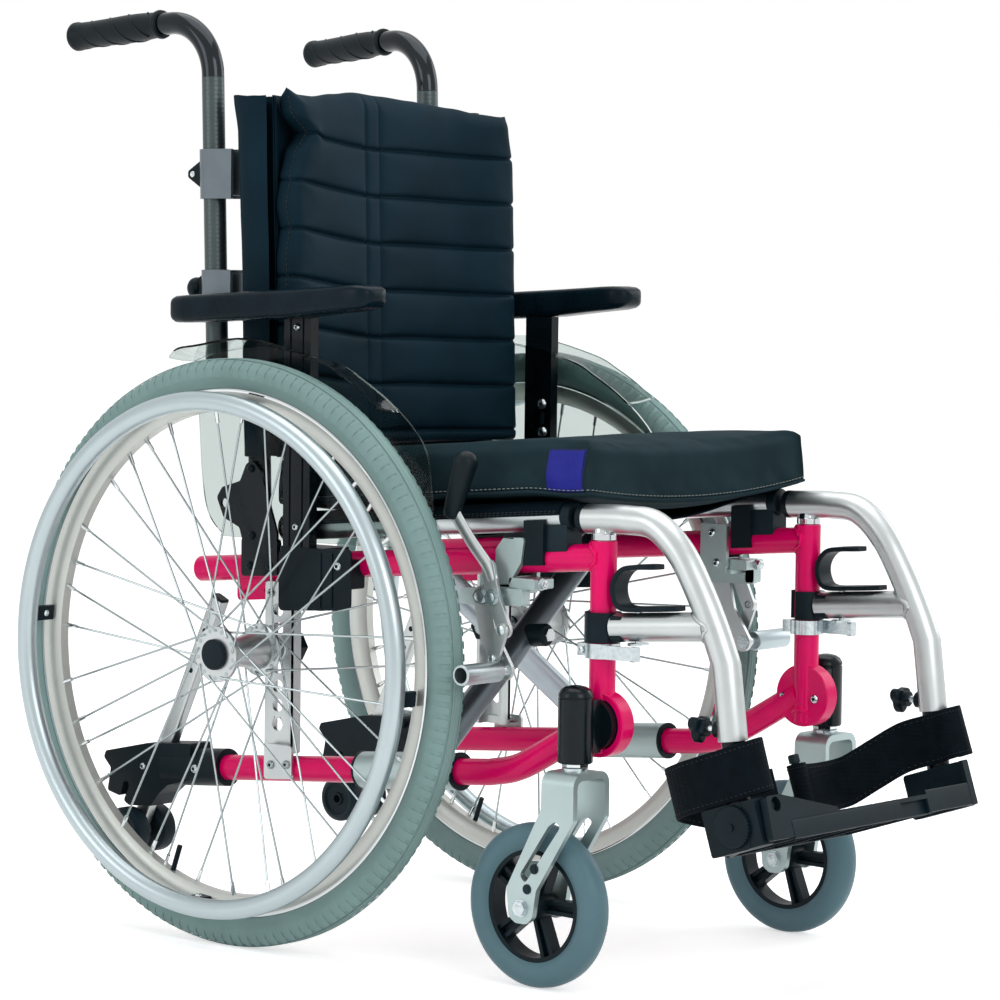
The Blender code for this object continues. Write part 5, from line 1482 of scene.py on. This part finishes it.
# %% Back cushion
FOOT_Z, TOP_Z, WIDE = 472.0, 818.0, 158.0
CREASES = [762.7 - 46.2 * k for k in range(7)]
SEAMS_X = (-41.5, -20.5)
TOP_EDGE = [(-160, 819), (-141, 812.5), (-119, 811.7), (-84, 815.5), (-49, 818.5), (-8, 816.3),
            (40, 813.4), (56, 811.8), (93, 808.3), (124, 803.5), (150, 801.4), (170, 804.3)]


def between(x, table):
    for (a, p), (b, q) in zip(table, table[1:]):
        if x <= b:
            t = min(max((x - a) / (b - a), 0.0), 1.0)
            return p + (q - p) * t * t * (3 - 2 * t)
    return table[-1][1]


def ease(t):
    t = min(max(t, 0.0), 1.0)
    return t * t * (3 - 2 * t)


def back_sag(x):
    return 17 * (1 - (min(abs(x), 148) / 148) ** 2)


levels = [FOOT_Z]
for low, high in zip([FOOT_Z] + CREASES[::-1], CREASES[::-1] + [TOP_Z]):
    count = max(2, round((high - low) / 5.2))
    levels += [low + (high - low) * (k + 1) / count for k in range(count)]
levels = sorted(levels + [c + d for c in CREASES for d in (-1.7, 1.7)])
edges = [WIDE - d for d in (0, 0.5, 2.2, 5.5, 10, 16)]
columns = [-x for x in edges]
x = -WIDE + 22
while x < WIDE - 22:
    columns.append(x)
    x += 6.2
columns = [min(SEAMS_X, key=lambda s: abs(s - c)) if min(abs(s - c) for s in SEAMS_X) < 3.1 else c
           for c in columns] + edges
columns = sorted(set(columns) | {s + d for s in SEAMS_X for d in (-1.7, 1.7)})
DEEP, SEAM_Y, REAR_Y = -52.0, -41.0, -17.5  # the front, the seam round the side, the back
crest = len(columns)
around = 2 * crest - 2
rings, held = [], set()
for r, z in enumerate(levels):
    top = ease((TOP_Z - z) / 16.0) ** 0.5 if z > 802 else 1.0
    low = ease((z - 468) / 10.0) ** 0.5 if z < 478 else 1.0
    thin = 0.06 + 0.94 * min(top, low)
    near_crease = min(abs(z - c) for c in CREASES) < 0.01
    ring = []
    for i in range(around):
        front = i < crest
        x = columns[i] if front else columns[around - i]
        edge = min(1.0, (WIDE - abs(x)) / 15.0)
        full = math.sqrt(max(0.0, 1 - (1 - edge) ** 2))
        y = SEAM_Y + ((DEEP if front else REAR_Y) - SEAM_Y) * full * thin
        if front and near_crease:
            y += 7.0 * full
        if front and x in SEAMS_X:
            y += 2.6 * thin
        if not front or near_crease or x in SEAMS_X or edge <= 0 or z in (FOOT_Z, TOP_Z):
            held.add(r * around + i)
        ring.append((x + (4.5 if near_crease and edge < 0.4 and x < 0 else 0), y, z))
    rings.append(ring)
verts, faces = loft(rings, caps=False)
for base in (0, (len(levels) - 1) * around):
    for i in range(crest - 1):
        j, k = (around - i) % around, (around - i - 1) % around
        faces.append((base + i, base + i + 1, base + k, base + j))


# How far the worn near edge stands in or out, by height: its top corner is pulled in.
NEAR_EDGE = [(640, -6), (670.3, -1), (693, -5), (716.5, 0), (740, 7), (762.7, 23), (788, 4),
             (818, 3)]


def hang_back(p):
    """From the flat pad to the chair: the canes' lean, the bow between them, and the wear."""
    x, z = p.x, p.z
    # The channels rise towards the near edge and fall a little towards the far one. Above
    # the first crease, the pad is stretched up to its waving top edge.
    rise = 13.5 * min(max((-x - 28) / 122, 0.0), 1.0) ** 1.15 - 4.0 * ease(x / 150)
    first = CREASES[0]
    if z <= first:
        z = z + rise * ease((z - 470) / 30)
    else:
        z = first + rise + (z - first) / (TOP_Z - first) * (between(x, TOP_EDGE) - first - rise)
    y = p.y + back_sag(x) * 0.9 + cane_y(p.z)
    y += 5 * ease((p.z - 790) / 30) * ease((-x - 120) / 30)  # the near top corner leans back
    x += 10 * ease((x - 60) / 90) * (0.35 + 0.65 * ease((810 - p.z) / 70))  # the far edge
    x += between(p.z, NEAR_EDGE) * ease((-x - 105) / 50)
    y -= 7 * ease((x - 80) / 70)  # the far side stands further forward
    ripple = noise.noise(Vector((x / 40, p.z / 26, 1.7))) * 0.5
    y -= ripple * (1 if p.y < -40 else 0)
    return Vector((x, y - MIDDLE_Y, z))


cushion = skin_object("back_cushion_cover", verts, faces)
blown = puff(cushion, held, 3.5, 8.0)
seam_points = [hang_back(p / MM) + Vector((0, MIDDLE_Y, 0)) for p in blown]
settle(cushion, blown, hang_back, VINYL, "back_cushion", "frame_right")
fold(cushion)
seams = [(0, -0.2, -0.6), (crest - 1, 0.2, -0.6)] + [(columns.index(s), 0, 0) for s in SEAMS_X]
lines = [[seam_points[r * around + i] + Vector((dx, dy, 0)) for r in range(1, len(levels) - 1)]
         for i, dx, dy in seams]
thread = stitched("back_cushion_stitches", "frame_right", lines,
                  lambda p: (-0.5 if p.x < -140 else 0, -1, 0), length=3.0, gap=2.2)
fold(thread)

# %% [markdown]
# ## Seat cushion
# A boxed cushion on the seat sheet. It hangs a little between the seat tubes, so its front
# edge dips in the middle. A stitched seam runs round its lower edge, and a small blue patch,
# left bare, is sewn on its side.

# %% Seat cushion
HALF, Y0, Y1, LOW, HIGH = 171.5, -223.5, 157.5, 6.0, 50.8
SOFT = 6.0  # how round its front and back edges are
ring = rectangle((-HALF, HALF), (LOW, HIGH), 8.5, 4)
dense = []
for (ax, az), (bx, bz) in zip(ring, ring[1:] + ring[:1]):
    count = max(1, round(math.hypot(bx - ax, bz - az) / 6.2))
    dense += [(ax + (bx - ax) * k / count, az + (bz - az) * k / count) for k in range(count)]


def end_rings(y, way):
    """The rings that close one end and round its edge, from the middle out."""
    deep = (HIGH - LOW) / 2
    rings = []
    for d in (deep, deep * 0.72, deep * 0.5, 7.5, 4.6, 2.4, 0.9):
        off = SOFT - math.sqrt(max(0.0, SOFT**2 - max(0.0, SOFT - d) ** 2))
        rings.append([(min(max(a, -HALF + d), HALF - d), y + way * off,
                       min(max(b, LOW + d), HIGH - d)) for a, b in dense])
    return rings


span = Y1 - Y0 - 2 * SOFT
rings = end_rings(Y0, 1)
rings += [[(a, Y0 + SOFT + span * k / 60, b) for a, b in dense] for k in range(61)]
rings += end_rings(Y1, -1)[::-1]
verts, faces = loft(rings, caps=False)
keys, remap, merged = {}, [], []
for v in verts:
    key = tuple(round(c, 1) for c in v)
    if key not in keys:
        keys[key] = len(merged)
        merged.append(v)
    remap.append(keys[key])
faces = [tuple(remap[i] for i in f) for f in faces]
faces = [f for f in faces if len(set(f)) > 2]
held = {i for i, v in enumerate(merged) if v[2] < LOW + 1.5}


def lie_on_seat(p):
    """From the flat cushion to the chair: the seat's slope, the sag between the tubes, and
    wrinkles where the front edge hangs."""
    x, y, z = p
    up = (z - LOW) / (HIGH - LOW)  # 0 at its bottom, 1 at its top
    share = 1 - min(1.0, (x / 166) ** 2)  # 1 in the middle, 0 at the tubes
    at_front = ease((-150 - y) / 60)
    low = 1 - ease(up)
    sag = share * (4.5 + 4.0 * at_front) + at_front * (1.4 + low * (3.0 + 2.8 * share))
    # Its bottom hangs further down, on the sheet, and its top is crowned.
    sag += 9.0 * share * ease((y + 214) / 30) * ease((152 - y) / 20) * (1 - ease((z - LOW) / 14))
    crown = 5.5 * ease((z - 30) / 15) * share * ease((y + 218) / 60) * ease((155 - y) / 40)
    wide = 1.0 + 0.01 * math.sin(math.pi * min(max(up, 0), 1))
    # Upright wrinkles in the front, and a slow ripple all over.
    pull = math.exp(-(((x - 20) / 75) ** 2)) * at_front
    crease = noise.noise(Vector((x / 9.5, z / 70, 3.3))) * 1.3 * pull
    ripple = noise.noise(Vector((x / 48, y / 48, z / 30))) * 1.1
    y_out = y - crease - 1.6 * at_front * math.sin(math.pi * min(max((z - LOW) / 44, 0), 1)) * share
    z_out = seat_z(y) + 15.4 + z - sag + crown + (ripple * ease((z - 20) / 20))
    return Vector((x * wide, y_out - MIDDLE_Y, z_out))


seat = skin_object("seat_cushion_cover", merged, faces)
blown = puff(seat, held, 3.0, 6.0, loose=0.01)
settle(seat, blown, lie_on_seat, SEAT_VINYL, "seat_cushion", None)
lift(seat)


def lower_seam(x, y):
    return lie_on_seat(Vector((x, y, LOW + 3.2))) + Vector((0, MIDDLE_Y, 0))


corner = 7.0
side_x, front_y = HALF - 0.6, Y0 + 0.3
half = [(-side_x, y) for y in np.linspace(Y1 - corner, Y0 + corner, 60)]
half += [(-side_x + 2, Y0 + 2.4)]
front = [(x, front_y) for x in np.linspace(-side_x + corner, side_x - corner, 60)]
seam = [lower_seam(x, y) for x, y in mirrored(half, 0, front)]
welt = join("seat_cushion_welt", None, {SEAT_VINYL: [bar(seam, 1.5, 8)]}, (), bevel=0)
lift(welt)


def away(p):
    if abs(p.x) > HALF - 2 and p.y > Y0 + corner:
        return (math.copysign(1.0, p.x), 0, 0.2)
    return (0, -1, 0.2)


thread = stitched("seat_cushion_stitches", None, [[p + Vector((0, 0, 3.4)) for p in seam]],
                  away, length=3.0, gap=2.4, lift=0.9, colour=PALE_THREAD)
lift(thread)

surface = BVHTree.FromPolygons([v.co for v in seat.data.vertices],
                               [p.vertices for p in seat.data.polygons])


def on_side(y, z, out):
    """The point of the cushion's right side at a place on the flat cushion's side."""
    p = lie_on_seat(Vector((-HALF, y, z)))
    hit = surface.ray_cast(Vector((-0.3, p.y * MM, p.z * MM)), Vector((1, 0, 0)))[0]
    hit = hit or surface.find_nearest(p * MM)[0]
    return Vector((hit.x / MM - out, p.y + MIDDLE_Y, p.z))


def patch_shell(ys, zs, out, thick):
    """A thin slab that follows the cushion's side."""
    slices = []
    for y in np.linspace(*ys, 12):
        outer = [on_side(y, z, out + thick) for z in np.linspace(*zs, 10)]
        slices.append(outer + [on_side(y, z, out) for z in np.linspace(*zs[::-1], 10)])
    return loft(slices)


patch = join("seat_patch", None, {
    PATCH_EDGE: [patch_shell((-218, -174), (10, 47), -0.3, 0.9)],
    PATCH: [patch_shell((-216.6, -175.4), (11.4, 45.6), 0.3, 0.8)],
}, (), bevel=0.2)
lift(patch)

# %% [markdown]
# ## Seat sheet
# One piece of vinyl stretched between the seat tubes. It wraps over each tube and ends in a
# stitched hem halfway down its outer side. Its front edge is cut back between the tubes.

# %% Seat sheet
WRAP_R, SHEET_HALF_THICK = 14.0, 0.9
SHEET_FRONT, SHEET_REAR = -192, 148
# Half of the sheet's line across: x, z, the way out, and the share of the way to the middle.
wrap = []
for k in range(13):
    a = math.radians(170 - 80 * k / 12)
    wrap.append((X + WRAP_R * math.cos(a), WRAP_R * math.sin(a), math.cos(a), math.sin(a), 0))
for k in range(1, 12):
    t = k / 11
    z = WRAP_R - 9.2 * math.sin(math.pi / 2 * t) ** 1.4
    wrap.append((X + FRAME_X * t, z, 0, 1, t))
wrap += [(-x, z, -nx, nz, t) for x, z, nx, nz, t in wrap[-2::-1]]
rings = []
for k in range(46):
    share = k / 45
    upper, under = [], []
    for x, z, nx, nz, t in wrap:
        front = SHEET_FRONT + 10 * ease(t * 3.5)
        y = front + (SHEET_REAR - front) * share
        z -= (14 - 9.5 * ease(share * 1.5)) * math.sin(math.pi / 2 * t)
        wave = 0.35 * noise.noise(Vector((x / 40, y / 22, 0.5))) * (1 if t else 0)
        for row, out in ((upper, SHEET_HALF_THICK), (under, -SHEET_HALF_THICK)):
            row.append((x + nx * out, y, seat_z(y) + z + nz * out + wave))
    rings.append(upper + under[::-1])


# Its darker vinyl is painted shade, standing for the shade under the cushion.
sheet = join("seat_sheet", None, {SHADED_SHEET_VINYL: [loft(rings)]}, ("seat_sling",), bevel=0)
lift(sheet)
hems = []
for side in (-1, 1):
    for turn in (164, 156):
        a = math.radians(turn)
        x, z = X + 14.9 * math.cos(a), 14.9 * math.sin(a)
        hems.append([(-side * x, y, seat_z(y) + z) for y in range(-188, 146, 6)])
thread = stitched("seat_sheet_stitches", None, hems,
                  lambda p: (math.copysign(1, p.x), 0, 0), length=3.0, gap=2.0, lift=0.5)
lift(thread)

# %% [markdown]
# ## Back sheet
# A sheet of the same vinyl with a sleeve sewn round each cane. The sleeves stand a little
# open behind the canes, more at the top, where the push handles have pulled them.

# %% Back sheet
SLEEVE_FOOT, PANEL_FOOT, SHEET_TOP = 463.5, 443.0, 811.0
SLEEVE_BACK = [(463, 13.2), (630, 13.4), (704, 14.8), (772, 17.4), (811, 23)]


def sleeve_path(z):
    """The sheet's middle line, seen from above: round one cane, across, round the other."""
    rear = between(z, SLEEVE_BACK)
    half = []
    for k in range(20):
        a = math.radians(-62 + 332 * k / 19)
        deep = rear if math.sin(a) > 0 else 24.0
        half.append((-160 - 14.4 * math.cos(a), deep * math.sin(a)))
    return mirrored(half, 0, [(x, -14.6 + back_sag(x)) for x in np.linspace(-140, 140, 29)])


def thick_line(points, t=0.85):
    points = [Vector(p) for p in points]
    outs = [Vector((-way.y, way.x)).normalized() * t for way in ways(points)]
    one = [p + out for p, out in zip(points, outs)]
    return one + [p - out for p, out in zip(points, outs)][::-1]


COUNT = len(sleeve_path(500))
TOP_LINE = thick_line(sleeve_path(800))


def panel_share(i):
    """1 in the panel between the sleeves, 0 in a sleeve, for a point of the thick line."""
    k = i if i < COUNT else 2 * COUNT - 1 - i
    return ease((min(k, COUNT - 1 - k) - 20) / 2)


rings = []
for k in range(43):
    row = []
    for i in range(2 * COUNT):
        foot_z = SLEEVE_FOOT + (PANEL_FOOT - SLEEVE_FOOT) * panel_share(i)
        far = ease(TOP_LINE[i].x / 100)
        z = foot_z + (SHEET_TOP - 10 * far - foot_z) * k / 42
        p = thick_line(sleeve_path(z))[i]
        wave = 0.8 * noise.noise(Vector((p.x / 30, z / 34, 2.2)))
        frayed = 1.5 * noise.noise(Vector((p.x / 14, p.y / 14, 7.7))) if k == 42 else 0
        row.append((p.x, p.y + wave + cane_y(z), z + frayed))
    rings.append(row)
sheet = join("back_sheet", "frame_right", {VINYL: [loft(rings)]}, ("back_sling",), bevel=0,
             sharp=50)
fold(sheet)
lines = [[(side * x, cane_y(z) + y + back_sag(x) + 1.3, z) for z in range(468, 808, 6)]
         for side in (-1, 1) for x, y in ((141, -13.2), (137.5, -12.4))]
thread = stitched("back_sheet_stitches", "frame_right", lines, lambda p: (0, 1, 0),
                  length=3.0, gap=2.0, lift=0.6)
fold(thread)

# %% [markdown]
# ## Camera, light and floor
# The camera stands where the photograph's did, low and to the right of the chair's front.
# Broad soft lights stand for a white studio. The floor fades to plain white.

# %% Camera
CAM_AT = Vector((-2.8346, -2.31914, 0.6513))
AZ, EL, ROLL = math.radians(-50.53), math.radians(3.561), math.radians(0.662)
back = Vector((math.sin(AZ) * math.cos(EL), -math.cos(AZ) * math.cos(EL), math.sin(EL)))
right = Vector((math.cos(AZ), math.sin(AZ), 0))
up = back.cross(right)
right, up = (right * math.cos(ROLL) + up * math.sin(ROLL),
             up * math.cos(ROLL) - right * math.sin(ROLL))
data = bpy.data.cameras.new("camera")
data.lens, data.sensor_width = 136.2, 36.0
data.clip_start, data.clip_end = 0.05, 50
camera = bpy.data.objects.new("camera", data)
camera.matrix_world = Matrix.Translation(CAM_AT) @ Matrix((right, up, back)).transposed().to_4x4()
bpy.context.scene.collection.objects.link(camera)
scene = bpy.context.scene
scene.camera = camera


# %% Lights
def light(name, at, aim, size, power):
    data = bpy.data.lights.new(name, "AREA")
    data.shape, data.size, data.size_y = "RECTANGLE", size[0], size[1]
    data.energy = power
    obj = bpy.data.objects.new(name, data)
    obj.location = at
    obj.rotation_euler = (Vector(aim) - Vector(at)).to_track_quat("-Z", "Y").to_euler()
    scene.collection.objects.link(obj)


light("overhead", (0.2, 0.1, 2.9), (0, 0, 0.3), (2.6, 2.6), 42)
light("key", (-1.2, -3.2, 1.9), (0, 0, 0.4), (1.8, 1.8), 34)
light("fill", (-3.2, 1.2, 1.5), (0, 0, 0.4), (1.6, 1.6), 18)
light("far_side", (2.8, -1.0, 1.6), (0, 0, 0.4), (1.6, 1.6), 18)


def white_rays(tree):
    """1 for rays that only look: from the camera, off a gloss or through clear plastic."""
    rays = add(tree, "LightPath")
    seen = rays["Is Camera Ray"]
    for ray in ("Is Glossy Ray", "Is Transmission Ray"):
        seen = add(tree, "Math", {0: seen, 1: rays[ray]}, operation="MAXIMUM")["Value"]
    return seen


WHITE = (1, 1, 1, 1)
world = bpy.data.worlds.new("studio")
scene.world = world
world.use_nodes = True
tree = world.node_tree
level = add(tree, "MapRange", {"Value": white_rays(tree), "To Min": 0.52, "To Max": 1.0})
feed(tree, tree.nodes["Background"], {"Color": WHITE, "Strength": level["Result"]})

# %% Floor
bm = bmesh.new()
bmesh.ops.create_grid(bm, x_segments=1, y_segments=1, size=30)
mesh = bpy.data.meshes.new("floor")
bm.to_mesh(mesh)
bm.free()
floor = bpy.data.objects.new("floor", mesh)
scene.collection.objects.link(floor)
white = bpy.data.materials.new("floor_white")
white.use_nodes = True
tree = white.node_tree
glow = add(tree, "Math", {0: white_rays(tree), 1: 0.55}, operation="MULTIPLY")["Value"]
feed(tree, tree.nodes["Principled BSDF"], {
    "Base Color": (0.86, 0.86, 0.86, 1), "Roughness": 0.6, "Emission Color": WHITE,
    "Emission Strength": glow})
mesh.materials.append(white)
scene.view_settings.view_transform = "Standard"
